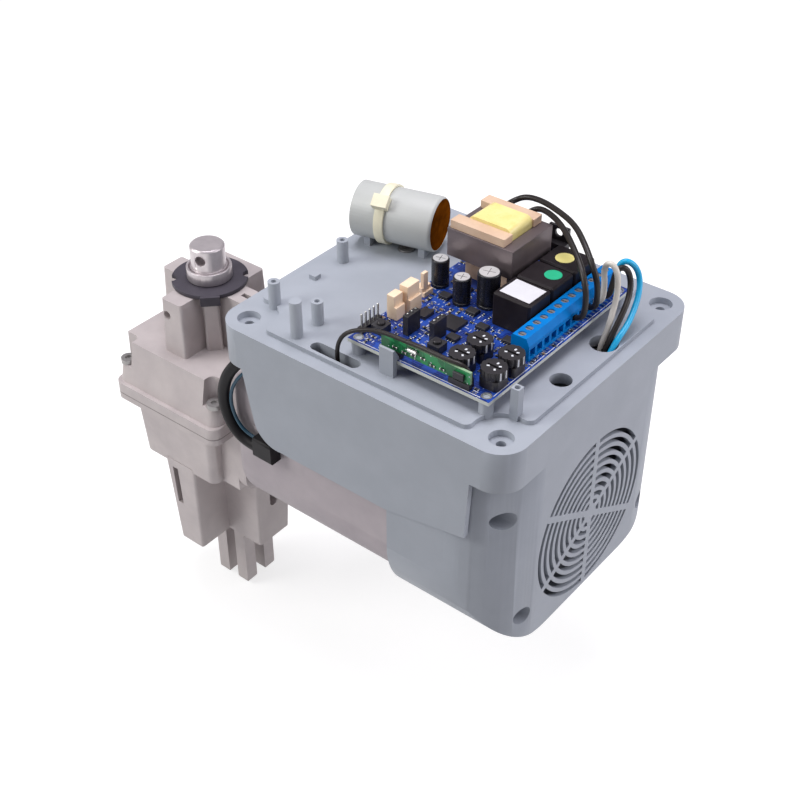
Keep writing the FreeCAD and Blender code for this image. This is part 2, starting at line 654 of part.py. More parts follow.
def make_dust_seal():
    """Rubber disc on the lugs, notched on one diagonal and keyed down by a tab on the other."""
    disc = upright(SEAL_R, 0, 0, UPPER_LUG_TOP_Z, SEAL_TOP_Z)
    inner = UPPER_RIB_REACH + LUG_DRAFT
    tab = box(inner, inner + SEAL_TAB, -SEAL_TAB_WIDTH / 2, SEAL_TAB_WIDTH / 2,
              UPPER_LUG_TOP_Z - SEAL_TAB_DROP, SEAL_TOP_Z)
    seal = fuse([disc, turned(tab, -45)])
    for side in (45, 225):
        notch = turned(upright(SEAL_NOTCH_R, SEAL_R, 0, UPPER_LUG_TOP_Z, SEAL_TOP_Z), side)
        seal = seal.cut(notch)
    return seal.cut(upright(SHAFT_JOURNAL_R + FREE_GAP, 0, 0, UPPER_LUG_TOP_Z, SEAL_TOP_Z))


def key_block():
    half = KEY_LENGTH / 2
    return box(SHAFT_SEAT_R - KEY_WIDTH / 2, SHAFT_SEAT_R + KEY_WIDTH / 2, -KEY_WIDTH / 2, KEY_WIDTH / 2,
               WORM_AXIS_Z - half, WORM_AXIS_Z + half)


def make_output_shaft():
    seat_z0 = WORM_AXIS_Z - CHAMBER_HALF_HEIGHT
    seat_z1 = WORM_AXIS_Z + CHAMBER_HALF_HEIGHT
    end = upright(SHAFT_END_R, 0, 0, 0, SHAFT_END_LENGTH)
    rim = [e for e in end.Edges if abs(e.BoundBox.ZMin - SHAFT_END_LENGTH) < 1e-6]
    end = turned(end.makeChamfer(0.8, rim), CROSS_HOLE_TURN + SHAFT_SEAM_TURN)
    shaft = fuse([end,
                  upright(SHAFT_JOURNAL_R, 0, 0, seat_z1, 0),
                  upright(SHAFT_SEAT_R, 0, 0, seat_z0 + FREE_GAP, seat_z1),
                  upright(SHAFT_FOOT_R, 0, 0, SHAFT_FOOT_Z, seat_z0 + FREE_GAP)])
    hole = along_x(CROSS_HOLE_R, -20, 20, 0, SHAFT_END_LENGTH - CROSS_HOLE_BELOW_TOP)
    return shaft.cut([turned(hole, CROSS_HOLE_TURN), key_block()])


def make_shaft_collar():
    collar = upright(COLLAR_R, 0, 0, -COLLAR_HEIGHT, 0).cut(upright(SHAFT_JOURNAL_R, 0, 0, -COLLAR_HEIGHT, 0))
    return collar.cut(upright(COLLAR_R - COLLAR_RIM_WALL, 0, 0, -COLLAR_RIM_DEPTH, 0))


def involute(angle):
    return math.tan(angle) - angle


def wheel_outline(z, twist):
    """Toothed outline of the worm wheel at one height, with involute flanks."""
    base_r = WHEEL_PITCH_R * math.cos(PRESSURE_ANGLE)
    tooth = math.pi * MODULE / 2 - MESH_BACKLASH
    points = []
    for n in range(WHEEL_TEETH):
        middle = math.pi / 2 + (n + 0.5) * 2 * math.pi / WHEEL_TEETH + twist
        flank = []
        for r in (WHEEL_PITCH_R - DEDENDUM, base_r + 0.05, WHEEL_PITCH_R, WHEEL_TIP_R):
            lean = involute(math.acos(min(1.0, base_r / r)))
            half = tooth / (2 * WHEEL_PITCH_R) + involute(PRESSURE_ANGLE) - lean
            flank.append((r, half))
        for r, half in flank:
            points.append(V(r * math.cos(middle - half), r * math.sin(middle - half), z))
        for r, half in reversed(flank):
            points.append(V(r * math.cos(middle + half), r * math.sin(middle + half), z))
    return Part.makePolygon(points + points[:1])


def make_worm_wheel():
    """Helical-toothed wheel whose teeth lean at the worm's lead angle."""
    half = WHEEL_WIDTH / 2
    lean_per_mm = MODULE / (2 * WORM_PITCH_R) / WHEEL_PITCH_R
    wires = [wheel_outline(WORM_AXIS_Z + z, z * lean_per_mm) for z in (-half, half)]
    wheel = Part.makeLoft(wires, True, True)
    return wheel.cut([upright(SHAFT_SEAT_R, 0, 0, WORM_AXIS_Z - half, WORM_AXIS_Z + half), key_block()])


def worm_thread():
    """Single-start thread, built on a local axis and laid along the motor shaft."""
    pitch = math.pi * MODULE
    turns = math.ceil(2 * WORM_HALF_LENGTH / pitch / 2) + 1
    tooth = (pitch / 2 - MESH_BACKLASH) / 2
    inner, outer = WORM_ROOT_R - 0.4, WORM_TIP_R
    slope = math.tan(PRESSURE_ANGLE)
    wide = tooth + (WORM_PITCH_R - inner) * slope
    narrow = tooth + (WORM_PITCH_R - outer) * slope
    start = -turns * pitch
    corners = [V(inner, 0, start - wide), V(outer, 0, start - narrow), V(outer, 0, start + narrow),
               V(inner, 0, start + wide)]
    profile = Part.makePolygon(corners + corners[:1])
    helix = Part.makeHelix(pitch, 2 * turns * pitch, WORM_PITCH_R)
    helix.translate(V(0, 0, start))
    thread = Part.Wire(helix.Edges).makePipeShell([profile], True, True)
    onto_motor_axis = FreeCAD.Matrix(0, 0, 1, 0, -1, 0, 0, MOTOR_Y, 0, -1, 0, MOTOR_Z, 0, 0, 0, 1)
    return thread.transformGeometry(onto_motor_axis)


def make_motor_shaft():
    """Stepped shaft with the worm cut on it, from its blind end bearing to the fan."""
    worm_end = -WORM_HALF_LENGTH - 1.5
    steps = [along_x(END_BEARING_BORE_R, worm_end - END_BEARING_WIDTH + 0.5, worm_end),
             along_x(WORM_ROOT_R, worm_end, WORM_HALF_LENGTH + 2),
             along_x(FRONT_BEARING_BORE_R - 0.3, WORM_HALF_LENGTH + 2, MOTOR_X0 + 1),
             along_x(FRONT_BEARING_BORE_R, MOTOR_X0 + 1, MOTOR_X0 + 1 + FRONT_BEARING_WIDTH),
             along_x(ROTOR_SEAT_R, MOTOR_X0 + 1 + FRONT_BEARING_WIDTH, MOTOR_X1 - 1),
             along_x(REAR_BEARING_BORE_R, MOTOR_X1 - 1, FAN_X0),
             along_x(FAN_SEAT_R, FAN_X0, FAN_X0 + FAN_LENGTH)]
    thread = worm_thread().common(along_x(WORM_TIP_R + 1, -WORM_HALF_LENGTH, WORM_HALF_LENGTH))
    return fuse(steps).fuse(thread)


def bearing(bore, outer, x0, width):
    """Sealed ball bearing as one ring, with its shields sunk between the races."""
    whole = ring(outer, bore + RUNNING_GAP, x0, x0 + width)
    race = (outer - bore) * 0.25
    sink = 0.6
    shields = [ring(outer - race, bore + race, x0, x0 + sink),
               ring(outer - race, bore + race, x0 + width - sink, x0 + width)]
    return whole.cut(shields)


def make_motor_case():
    case = motor_section(MOTOR_X0, MOTOR_X1, MOTOR_HALF_WIDTH, MOTOR_ABOVE, MOTOR_BELOW,
                         MOTOR_TOP_CORNER, MOTOR_LOW_CORNER)
    end_edges = [e for e in case.Edges if e.BoundBox.XMax < MOTOR_X0 + 1e-6]
    case = case.makeFillet(MOTOR_END_ROUND, end_edges)
    rib = box(MOTOR_X0 + MOTOR_RIB_START, SHROUD_X0 - 1, MOTOR_SIDE_Y - MOTOR_RIB_PROUD, MOTOR_SIDE_Y + 2,
              MOTOR_RIB_Z, MOTOR_RIB_Z + MOTOR_RIB_HEIGHT)
    far_rib = rib.mirror(V(0, MOTOR_Y, 0), AY)
    bosses = [along_x(SHROUD_SLEEVE_R, MOTOR_X1 - MOTOR_BOSS_LENGTH, MOTOR_X1, MOTOR_Y + y, MOTOR_Z + z)
              for y, z in SHROUD_SCREWS]
    case = fuse([case, rib, far_rib] + bosses)
    cavity = fuse([along_x(STATOR_R, MOTOR_X0 + FRONT_WALL, MOTOR_X1),
                   along_x(FRONT_BEARING_R, MOTOR_X0 + 1, MOTOR_X0 + FRONT_WALL),
                   along_x(FRONT_BEARING_BORE_R + FREE_GAP, MOTOR_X0 - 1, MOTOR_X0 + 2)])
    holes = []
    for y, z in MOTOR_SCREWS:
        holes.append(along_x(MOTOR_SCREW_R, MOTOR_X0, MOTOR_X0 + MOTOR_SCREW_GRIP, MOTOR_Y + y, MOTOR_Z + z))
    for y, z in SHROUD_SCREWS:
        start = MOTOR_X1 - SHROUD_SCREW_GRIP
        holes.append(along_x(SHROUD_SCREW_R, start, MOTOR_X1, MOTOR_Y + y, MOTOR_Z + z))
    for x, y in TRAY_SCREWS:
        holes.append(upright(TRAY_SCREW_R, x, y, MOTOR_TOP_Z - TRAY_SCREW_GRIP, MOTOR_TOP_Z))
    return case.cut(cavity).cut(holes)


def make_motor_flange_screws():
    length = MOTOR_X0 - NECK_PLATE_X0 + MOTOR_SCREW_GRIP
    return [cap_screw(MOTOR_SCREW_R, length, MOTOR_SCREW_HEAD_R, MOTOR_SCREW_HEAD,
                      V(NECK_PLATE_X0, MOTOR_Y + y, MOTOR_Z + z), AX)
            for y, z in MOTOR_SCREWS]


def make_stator_core():
    core = ring(STATOR_R, STATOR_BORE_R, STATOR_X0, STATOR_X1)
    middle = (STATOR_R + STATOR_BORE_R) / 2
    slots = []
    for n in range(STATOR_SLOTS):
        turn = 2 * math.pi * n / STATOR_SLOTS
        slots.append(along_x(SLOT_R, STATOR_X0, STATOR_X1, MOTOR_Y + middle * math.cos(turn),
                             MOTOR_Z + middle * math.sin(turn)))
    return core.cut(slots)


def make_stator_windings():
    inner, outer = STATOR_BORE_R + 1.5, STATOR_R - 2.0
    return [ring(outer, inner, STATOR_X0 - WINDING_LENGTH, STATOR_X0),
            ring(outer, inner, STATOR_X1, STATOR_X1 + WINDING_LENGTH)]


def make_rotor_core():
    return ring(STATOR_BORE_R - ROTOR_GAP, ROTOR_SEAT_R, STATOR_X0, STATOR_X1)


def make_motor_end_shield():
    """Spoked plate that closes the motor and carries the bearing at the fan end."""
    x0 = MOTOR_X1
    x1 = MOTOR_X1 + END_SHIELD_THICKNESS
    hub_end = MOTOR_X1 + REAR_BEARING_WIDTH
    plate = along_x(END_SHIELD_R, x0, x1).fuse(along_x(REAR_BEARING_R + 3, x0, hub_end))
    windows = []
    window_r = (END_SHIELD_R + REAR_BEARING_R) / 2 - 1
    for n in range(END_SHIELD_WINDOWS):
        turn = 2 * math.pi * n / END_SHIELD_WINDOWS
        y, z = MOTOR_Y + window_r * math.cos(turn), MOTOR_Z + window_r * math.sin(turn)
        windows.append(along_x(END_SHIELD_WINDOW_R, x0, x1, y, z))
    return plate.cut(along_x(REAR_BEARING_R, x0, hub_end)).cut(windows).removeSplitter()


def make_cooling_fan():
    """Moulded radial fan: hub, back plate and blades swept back along an arc."""
    hub = along_x(FAN_HUB_R, FAN_X0, FAN_X0 + FAN_LENGTH)
    plate = along_x(FAN_R, FAN_X0, FAN_X0 + FAN_PLATE)
    bend_r = FAN_R * 0.8
    blade_x1 = FAN_X0 + FAN_LENGTH - 2
    blade = along_x(bend_r + FAN_BLADE / 2, FAN_X0, blade_x1, MOTOR_Y, MOTOR_Z + bend_r)
    blade = blade.cut(along_x(bend_r - FAN_BLADE / 2, FAN_X0, blade_x1, MOTOR_Y, MOTOR_Z + bend_r))
    sweep = box(FAN_X0, FAN_X0 + FAN_LENGTH, MOTOR_Y, MOTOR_Y + FAN_R, MOTOR_Z - 2, MOTOR_Z + bend_r)
    blade = blade.common(sweep).common(along_x(FAN_R, FAN_X0, FAN_X0 + FAN_LENGTH))
    blades = []
    for n in range(FAN_BLADES):
        copy = blade.copy()
        copy.rotate(V(0, MOTOR_Y, MOTOR_Z), AX, 360.0 * n / FAN_BLADES)
        blades.append(copy)
    fan = fuse([hub, plate] + blades)
    return fan.cut(along_x(FAN_SEAT_R, FAN_X0, FAN_X0 + FAN_LENGTH))


def shroud_form(inset):
    """Outer form of the shroud, drawn in by inset: a round-cornered plan met by a round-bottomed section."""
    half = SHROUD_HALF_WIDTH - inset
    above = SHROUD_ROOF_Z - MOTOR_Z - inset
    section = motor_section(SHROUD_X0, SHROUD_X1 - inset, half, above, SHROUD_BELOW - inset, 2.0,
                            SHROUD_LOW_CORNER - inset)
    corner = SHROUD_UPRIGHT_CORNER - inset
    plan = slab(SHROUD_X0 - 2 * corner, SHROUD_X1 - inset, MOTOR_Y - half, MOTOR_Y + half,
                MOTOR_Z - SHROUD_BELOW - 1, SHROUD_ROOF_Z + 1, corner)
    return section.common(plan)


def grille_slots():
    """Rings of cooling slots in the shroud's end face, parted by the spokes."""
    rings = []
    for n in range(GRILLE_SLOTS):
        outer = GRILLE_R - n * GRILLE_PITCH
        rings.append(ring(outer, outer - GRILLE_SLOT, SHROUD_X1 - SHROUD_WALL - 1, SHROUD_X1 + 1))
    spokes = []
    for n in range(GRILLE_SPOKES // 2):
        spoke = box(SHROUD_X1 - 20, SHROUD_X1 + 2, MOTOR_Y - GRILLE_SPOKE / 2, MOTOR_Y + GRILLE_SPOKE / 2,
                    MOTOR_Z - GRILLE_R - 2, MOTOR_Z + GRILLE_R + 2)
        spoke.rotate(V(0, MOTOR_Y, MOTOR_Z), AX, 360.0 * n / GRILLE_SPOKES)
        spokes.append(spoke)
    return [r.cut(spokes) for r in rings]


def skirt_face(y, grow):
    """Side skirt of the tray in the XZ plane, optionally grown for the rebate in the shroud."""
    toe = SKIRT_TOE_X - 8.0
    top = TRAY_RIM_Z - TRAY_FLOOR
    points = [V(SKIRT_X0, y, top), V(toe - 1.5, y, SKIRT_FOOT_Z + 9.5),
              V(SKIRT_TOE_X + 5.0, y, SKIRT_FOOT_Z - grow), V(SHROUD_X0, y, SKIRT_FOOT_Z - grow),
              V(SKIRT_X1 - 1.5 + grow, y, SKIRT_END_Z - grow),
              V(SKIRT_X1 + 1.0 + grow, y, top)]
    bend = Part.Arc(points[1], V(toe + 3.6, y, SKIRT_FOOT_Z + 2.2), points[2])
    edges = [Part.LineSegment(points[0], points[1]).toShape(), bend.toShape()]
    for first, last in zip(points[2:], points[3:] + points[:1]):
        edges.append(Part.LineSegment(first, last).toShape())
    return Part.Face(Part.Wire(edges))


def both_sides(shape):
    return [shape, shape.mirror(V(0, MOTOR_Y, 0), AY)]


def make_fan_shroud():
    outer = shroud_form(0.0)
    shell = outer.cut(shroud_form(SHROUD_WALL).fuse(
        motor_section(SHROUD_X0 - 1, SHROUD_X0 + 1, SHROUD_HALF_WIDTH - SHROUD_WALL,
                      SHROUD_ROOF_Z - MOTOR_Z - SHROUD_WALL, SHROUD_BELOW - SHROUD_WALL, 1.0,
                      SHROUD_LOW_CORNER - SHROUD_WALL)))
    rebate_y = MOTOR_Y - SHROUD_LINING_Y
    lining = box(SHROUD_X0, SKIRT_X1 + 4, rebate_y, rebate_y + SHROUD_WALL, SKIRT_FOOT_Z - 3, SHROUD_ROOF_Z)
    sleeves = [along_x(SHROUD_SLEEVE_R, MOTOR_X1, SHROUD_X1, MOTOR_Y + y, MOTOR_Z + z)
               for y, z in SHROUD_SCREWS]
    inside = [piece.common(outer) for piece in both_sides(lining) + sleeves]
    shell = fuse([shell] + inside)
    rebate = skirt_face(TRAY_Y0 - 1, SEAM_GAP).extrude(V(0, TRAY_WALL + SEAM_GAP + 1, 0))
    seat_x = MOTOR_X1 + SHROUD_SCREW_SEAT
    pockets = []
    for y, z in SHROUD_SCREWS:
        pockets.append(along_x(SHROUD_POCKET_R, seat_x, SHROUD_X1 + 1, MOTOR_Y + y, MOTOR_Z + z))
        pockets.append(along_x(SHROUD_SCREW_R, MOTOR_X1 - 1, seat_x + 1, MOTOR_Y + y, MOTOR_Z + z))
    return shell.cut(both_sides(rebate)).cut(pockets).cut(grille_slots()).removeSplitter()


def make_shroud_screws():
    seat_x = MOTOR_X1 + SHROUD_SCREW_SEAT
    length = SHROUD_SCREW_SEAT + SHROUD_SCREW_GRIP
    return [cap_screw(SHROUD_SCREW_R, length, SHROUD_SCREW_HEAD_R, SHROUD_SCREW_HEAD,
                      V(seat_x, MOTOR_Y + y, MOTOR_Z + z), -AX)
            for y, z in SHROUD_SCREWS]


def tray_panel():
    """Raised middle of the tray's floor, scooped out round the four cover screws."""
    panel = slab(TRAY_X0 + PANEL_INSET_X, TRAY_X1 - PANEL_INSET_X, TRAY_Y0 + PANEL_INSET_Y,
                 TRAY_Y1 - PANEL_INSET_Y, TRAY_RIM_Z, PANEL_Z, 4.0)
    scoops = [upright(PANEL_NOTCH_R, x, y, TRAY_RIM_Z, PANEL_Z) for x, y in COVER_SCREWS]
    panel = panel.cut(scoops)
    sharp = [e for e in panel.Edges if abs(e.tangentAt(e.FirstParameter).z) > 0.9]
    return panel.makeFillet(3.0, sharp)


def can_axis():
    turn = math.radians(CAN_TURN)
    return V(math.cos(turn), math.sin(turn), 0)


def can_start():
    middle = V(CAN_CENTRE[0], CAN_CENTRE[1], PANEL_Z + CAN_RISE + CAN_R)
    return middle - can_axis() * (CAN_LENGTH / 2)


def can_slice(radius, start, length):
    """Round slice of the capacitor's own axis, measured from its blind end."""
    return Part.makeCylinder(radius, length, can_start() + can_axis() * start, can_axis())


def can_cradles():
    """Two ribs on the tray that hold the capacitor off the floor."""
    ribs = []
    for along in (CAN_LENGTH * 0.12, CAN_LENGTH * 0.8):
        half = CAN_R * 0.6
        corner = V(along - CAN_LENGTH / 2, -half, PANEL_Z - 0.5)
        rib = Part.makeBox(CRADLE_WIDTH, 2 * half, CAN_RISE + 3.0, corner)
        rib.rotate(V(0, 0, 0), AZ, CAN_TURN)
        rib.translate(V(CAN_CENTRE[0], CAN_CENTRE[1], 0))
        ribs.append(rib.cut(can_slice(CAN_R, -2.0, CAN_LENGTH + 4.0)))
    return ribs


def tray_posts():
    tall = upright(POST_R, *TALL_POST, TRAY_RIM_Z, PANEL_Z + TALL_POST_HEIGHT)
    posts = [tall]
    for x, y in POSTS:
        post = upright(POST_R, x, y, TRAY_RIM_Z, PANEL_Z + POST_HEIGHT)
        posts.append(post.cut(upright(POST_HOLE_R, x, y, PANEL_Z + POST_HEIGHT - 6, PANEL_Z + POST_HEIGHT)))
    x, y = COVER_POST
    half = COVER_POST_SIDE / 2
    pillar_top = PANEL_Z + COVER_POST_HEIGHT
    pillar = box(x - half, x + half, y - half, y + half, TRAY_RIM_Z, pillar_top)
    posts.append(pillar.cut(upright(POST_HOLE_R, x, y, pillar_top - 8, pillar_top)))
    x, y = LOCATING_BUMP
    half = LOCATING_BUMP_SIDE / 2
    posts.append(box(x - half, x + half, y - half, y + half, TRAY_RIM_Z, PANEL_Z + 2.0))
    return posts


def board_supports():
    """Standoffs with pegs through the board's corner holes, and the clip over its front edge."""
    supports = []
    for x, y in BOARD_HOLES:
        supports.append(upright(STANDOFF_R, x, y, TRAY_RIM_Z, BOARD_Z0))
        supports.append(upright(PEG_R, x, y, BOARD_Z0 - 1, BOARD_Z - PEG_SHY))
    edge = BOARD_Y0 - SEAM_GAP
    profile = [V(0, edge - 2.4, TRAY_RIM_Z), V(0, edge, TRAY_RIM_Z), V(0, edge, BOARD_Z + SEAM_GAP),
               V(0, edge + 1.4, BOARD_Z + SEAM_GAP), V(0, edge + 1.4, BOARD_Z + 1.2),
               V(0, edge - 1.2, PANEL_Z + BOARD_CLIP_HEIGHT), V(0, edge - 2.4, PANEL_Z + BOARD_CLIP_HEIGHT)]
    clip = Part.Face(Part.makePolygon(profile + profile[:1])).extrude(V(BOARD_CLIP_WIDTH, 0, 0))
    clip.translate(V(BOARD_CLIP_X - BOARD_CLIP_WIDTH / 2, 0, 0))
    return supports + [clip]


def make_electronics_tray():
    rim = slab(TRAY_X0, TRAY_X1, TRAY_Y0, TRAY_Y1, BAND_FOOT_Z, TRAY_RIM_Z, TRAY_CORNER)
    hollow = slab(TRAY_X0 + TRAY_WALL, TRAY_X1 - TRAY_WALL, TRAY_Y0 + TRAY_WALL, TRAY_Y1 - TRAY_WALL,
                  BAND_FOOT_Z, FLOOR_UNDER_Z, TRAY_CORNER - TRAY_WALL)
    skirts = both_sides(skirt_face(TRAY_Y0, 0.0).extrude(V(0, TRAY_WALL, 0)))
    tray = fuse([rim.cut(hollow), tray_panel()] + skirts)
    under = [upright(TRAY_BOSS_R, x, y, MOTOR_TOP_Z, TRAY_RIM_Z) for x, y in TRAY_SCREWS]
    under += [upright(COVER_BOSS_R, x, y, TRAY_RIM_Z - COVER_BOSS_DEPTH, TRAY_RIM_Z) for x, y in COVER_SCREWS]
    under.append(box(CLAMP_X0, CLAMP_X1, CLAMP_Y0, CLAMP_Y1, CLAMP_FOOT_Z, TRAY_RIM_Z))
    tray = fuse([tray] + under + tray_posts() + board_supports() + can_cradles())
    holes = []
    for x, y in COVER_SCREWS:
        holes.append(upright(COUNTERBORE_R, x, y, TRAY_RIM_Z - COUNTERBORE_DEPTH, TRAY_RIM_Z + 1))
        holes.append(upright(COVER_SCREW_R, x, y, TRAY_RIM_Z - COVER_BOSS_DEPTH - 1, TRAY_RIM_Z))
    for x, y in TRAY_SCREWS:
        holes.append(upright(TRAY_SCREW_R, x, y, MOTOR_TOP_Z - 1, PANEL_Z + 1))
        holes.append(upright(TRAY_SCREW_HEAD_R + FREE_GAP, x, y, PANEL_Z - TRAY_SCREW_SINK, PANEL_Z + 1))
    half = WIRE_SLOT_WIDTH / 2
    holes.append(slab(WIRE_SLOT_X0, WIRE_SLOT_X1, WIRE_SLOT_Y - half, WIRE_SLOT_Y + half,
                      FLOOR_UNDER_Z - 1, PANEL_Z + 1, half - 0.05))
    holes.append(upright(LEAD_HOLE_R, *LEAD_HOLE, FLOOR_UNDER_Z - 1, PANEL_Z + 1))
    holes.append(upright(SPARE_HOLE_R, *SPARE_HOLE, FLOOR_UNDER_Z - 1, PANEL_Z + 1))
    return tray.cut(holes).removeSplitter()


def make_tray_screws():
    seat = PANEL_Z - TRAY_SCREW_SINK
    length = seat - MOTOR_TOP_Z + TRAY_SCREW_GRIP
    return [cap_screw(TRAY_SCREW_R, length, TRAY_SCREW_HEAD_R, TRAY_SCREW_HEAD, V(x, y, seat), -AZ)
            for x, y in TRAY_SCREWS]


def make_control_board():
    board = box(BOARD_X0, BOARD_X1, BOARD_Y0, BOARD_Y1, BOARD_Z0, BOARD_Z)
    return board.cut([upright(BOARD_HOLE_R, x, y, BOARD_Z0, BOARD_Z) for x, y in BOARD_HOLES])


def make_trimmer_bases():
    half = TRIMMER_SIDE / 2
    bases = []
    for x in TRIMMER_X:
        for y in TRIMMER_Y:
            base = slab(x - half, x + half, y - half, y + half, BOARD_Z, BOARD_Z + TRIMMER_BASE, 1.5)
            top = BOARD_Z + TRIMMER_BASE
            socket = upright(TRIMMER_STEM_R + RUNNING_GAP, x, y, top - TRIMMER_STEM - FREE_GAP, top)
            bases.append(base.cut(socket))
    return bases


def make_trimmer_knob(x, y):
    """Thumb disc with fluted edge, screwdriver slot and a stem down into its base."""
    z0 = BOARD_Z + TRIMMER_BASE + FREE_GAP
    z1 = z0 + TRIMMER_KNOB
    disc = upright(TRIMMER_KNOB_R, x, y, z0, z1)
    stem = upright(TRIMMER_STEM_R, x, y, z0 - FREE_GAP - TRIMMER_STEM, z0)
    flutes = []
    for n in range(TRIMMER_FLUTES):
        turn = 2 * math.pi * (n + 0.5) / TRIMMER_FLUTES
        reach = TRIMMER_KNOB_R + 0.35
        flutes.append(upright(0.7, x + reach * math.cos(turn), y + reach * math.sin(turn), z0, z1))
    slot = box(x - 3.0, x + 3.0, y - 0.5, y + 0.5, z1 - 1.0, z1)
    return disc.fuse(stem).cut(flutes + [slot]).removeSplitter()


def make_tact_switch_bodies():
    half = TACT_SIDE / 2
    bodies = []
    for x, y in TACT_PLACES:
        body = slab(x - half, x + half, y - half, y + half, BOARD_Z, BOARD_Z + TACT_BODY, 0.6)
        well_z = BOARD_Z + TACT_BODY - TACT_BUTTON_DEPTH - TACT_TRAVEL - FREE_GAP
        bodies.append(body.cut(upright(TACT_BUTTON_R + RUNNING_GAP, x, y, well_z, BOARD_Z + TACT_BODY)))
    return bodies


def make_tact_button(x, y):
    top = BOARD_Z + TACT_BODY + TACT_BUTTON_PROUD
    button = upright(TACT_BUTTON_R, x, y, BOARD_Z + TACT_BODY - TACT_BUTTON_DEPTH, top)
    rim = [e for e in button.Edges if abs(e.BoundBox.ZMin - top) < 1e-6]
    return button.makeChamfer(0.3, rim)


def pole_middles():
    return [TERMINAL_Y0 + (n + 0.5) * TERMINAL_PITCH for n in range(TERMINAL_POLES)]


def make_terminal_block():
    """Rising-clamp terminals in one row: screw wells on top, wire mouths facing the tray's edge."""
    y1 = TERMINAL_Y0 + TERMINAL_POLES * TERMINAL_PITCH
    top = BOARD_Z + TERMINAL_HEIGHT
    profile = [V(TERMINAL_X0, 0, BOARD_Z), V(TERMINAL_X1, 0, BOARD_Z), V(TERMINAL_X1, 0, top - 3.2),
               V(TERMINAL_X1 - 1.6, 0, top), V(TERMINAL_X0 + 0.6, 0, top), V(TERMINAL_X0, 0, top - 0.8)]
    block = Part.Face(Part.makePolygon(profile + profile[:1])).extrude(V(0, y1 - TERMINAL_Y0, 0))
    block.translate(V(0, TERMINAL_Y0, 0))
    cuts = []
    for y in pole_middles():
        cuts.append(upright(TERMINAL_SCREW_R, TERMINAL_SCREW_X, y, top - TERMINAL_WELL, top))
        half = TERMINAL_MOUTH_W / 2
        z0 = BOARD_Z + TERMINAL_MOUTH_Z
        mouth_x0 = TERMINAL_X1 - TERMINAL_MOUTH_DEPTH
        cuts.append(box(mouth_x0, TERMINAL_X1, y - half, y + half, z0, z0 + TERMINAL_MOUTH_H))
    return block.cut(cuts)


def make_terminal_screws():
    top = BOARD_Z + TERMINAL_HEIGHT
    screws = []
    for y in pole_middles():
        head = upright(TERMINAL_SCREW_R, TERMINAL_SCREW_X, y, top - TERMINAL_WELL, top - 0.5)
        half = TERMINAL_SCREW_R
        slot = box(TERMINAL_SCREW_X - half, TERMINAL_SCREW_X + half, y - 0.25, y + 0.25, top - 1.1, top)
        screws.append(head.cut(slot))
    return screws


def make_relays():
    relays = []
    for n in range(RELAY_COUNT):
        y0 = RELAY_Y0 + n * RELAY_PITCH
        case = box(RELAY_X0, RELAY_X1, y0, y0 + RELAY_WIDTH, BOARD_Z, BOARD_Z + RELAY_HEIGHT)
        edges = [e for e in case.Edges if e.BoundBox.ZMax > BOARD_Z + 1]
        relays.append(case.makeChamfer(RELAY_EDGE, edges))
    return relays


def coil_span():
    """Window of the transformer core between its yokes, along Y."""
    return CORE_Y0 + CORE_LEG, CORE_Y1 - CORE_LEG


def middle_leg():
    middle = (CORE_X0 + CORE_X1) / 2
    return middle - CORE_MIDDLE_LEG / 2, middle + CORE_MIDDLE_LEG / 2


def make_transformer_core():
    z0 = BOARD_Z + CORE_RISE
    z1 = z0 + CORE_STACK
    core = box(CORE_X0, CORE_X1, CORE_Y0, CORE_Y1, z0, z1)
    y0, y1 = coil_span()
    leg0, leg1 = middle_leg()
    windows = [box(CORE_X0 + CORE_LEG, leg0, y0, y1, z0, z1), box(leg1, CORE_X1 - CORE_LEG, y0, y1, z0, z1)]
    return core.cut(windows)


def around_leg(grow, y0, y1, z0, z1):
    """Box around the core's middle leg, wider by grow and between two heights."""
    leg0, leg1 = middle_leg()
    return box(leg0 - grow, leg1 + grow, y0, y1, z0, z1)


def make_transformer_bobbin():
    """Moulded former: a sleeve on the middle leg, two cheeks and the rails that lie over the yokes."""
    y0, y1 = coil_span()
    z0 = BOARD_Z
    core_z0, core_z1 = BOARD_Z + CORE_RISE, BOARD_Z + CORE_RISE + CORE_STACK
    top = core_z1 + BOBBIN_RAIL
    window = (CORE_X1 - CORE_X0) / 2 - CORE_LEG - CORE_MIDDLE_LEG / 2
    grow = window - SEAM_GAP
    sleeve = around_leg(BOBBIN_WALL, y0, y1, core_z0 - BOBBIN_WALL, core_z1 + BOBBIN_WALL)
    cheeks = [around_leg(grow, y, y + BOBBIN_WALL, z0, top) for y in (y0, y1 - BOBBIN_WALL)]
    rail_x0, rail_x1 = CORE_X0 + BOBBIN_INSET, CORE_X1 - BOBBIN_RAIL_SHORT
    rails = [box(rail_x0, rail_x1, CORE_Y0 + BOBBIN_INSET, y0 + BOBBIN_WALL, core_z1, top),
             box(rail_x0, rail_x1, y1 - BOBBIN_WALL, CORE_Y1 - BOBBIN_INSET, core_z1, top)]
    leg = around_leg(0.0, y0, y1, core_z0, core_z1)
    return fuse([sleeve] + cheeks + rails).cut(leg)


def make_transformer_coil():
    """Winding wrapped in tape, filling the former between its cheeks with rounded corners."""
    y0, y1 = coil_span()
    core_z0, core_z1 = BOARD_Z + CORE_RISE, BOARD_Z + CORE_RISE + CORE_STACK
    window = (CORE_X1 - CORE_X0) / 2 - CORE_LEG - CORE_MIDDLE_LEG / 2
    grow = window - SEAM_GAP
    coil = around_leg(grow, y0 + BOBBIN_WALL, y1 - BOBBIN_WALL, BOARD_Z + 0.4, BOARD_Z + COIL_TOP)
    edges = [e for e in coil.Edges if abs(e.tangentAt(e.FirstParameter).y) > 0.9]
    coil = coil.makeFillet(3.0, edges)
    return coil.cut(around_leg(BOBBIN_WALL, y0, y1, core_z0 - BOBBIN_WALL, core_z1 + BOBBIN_WALL))


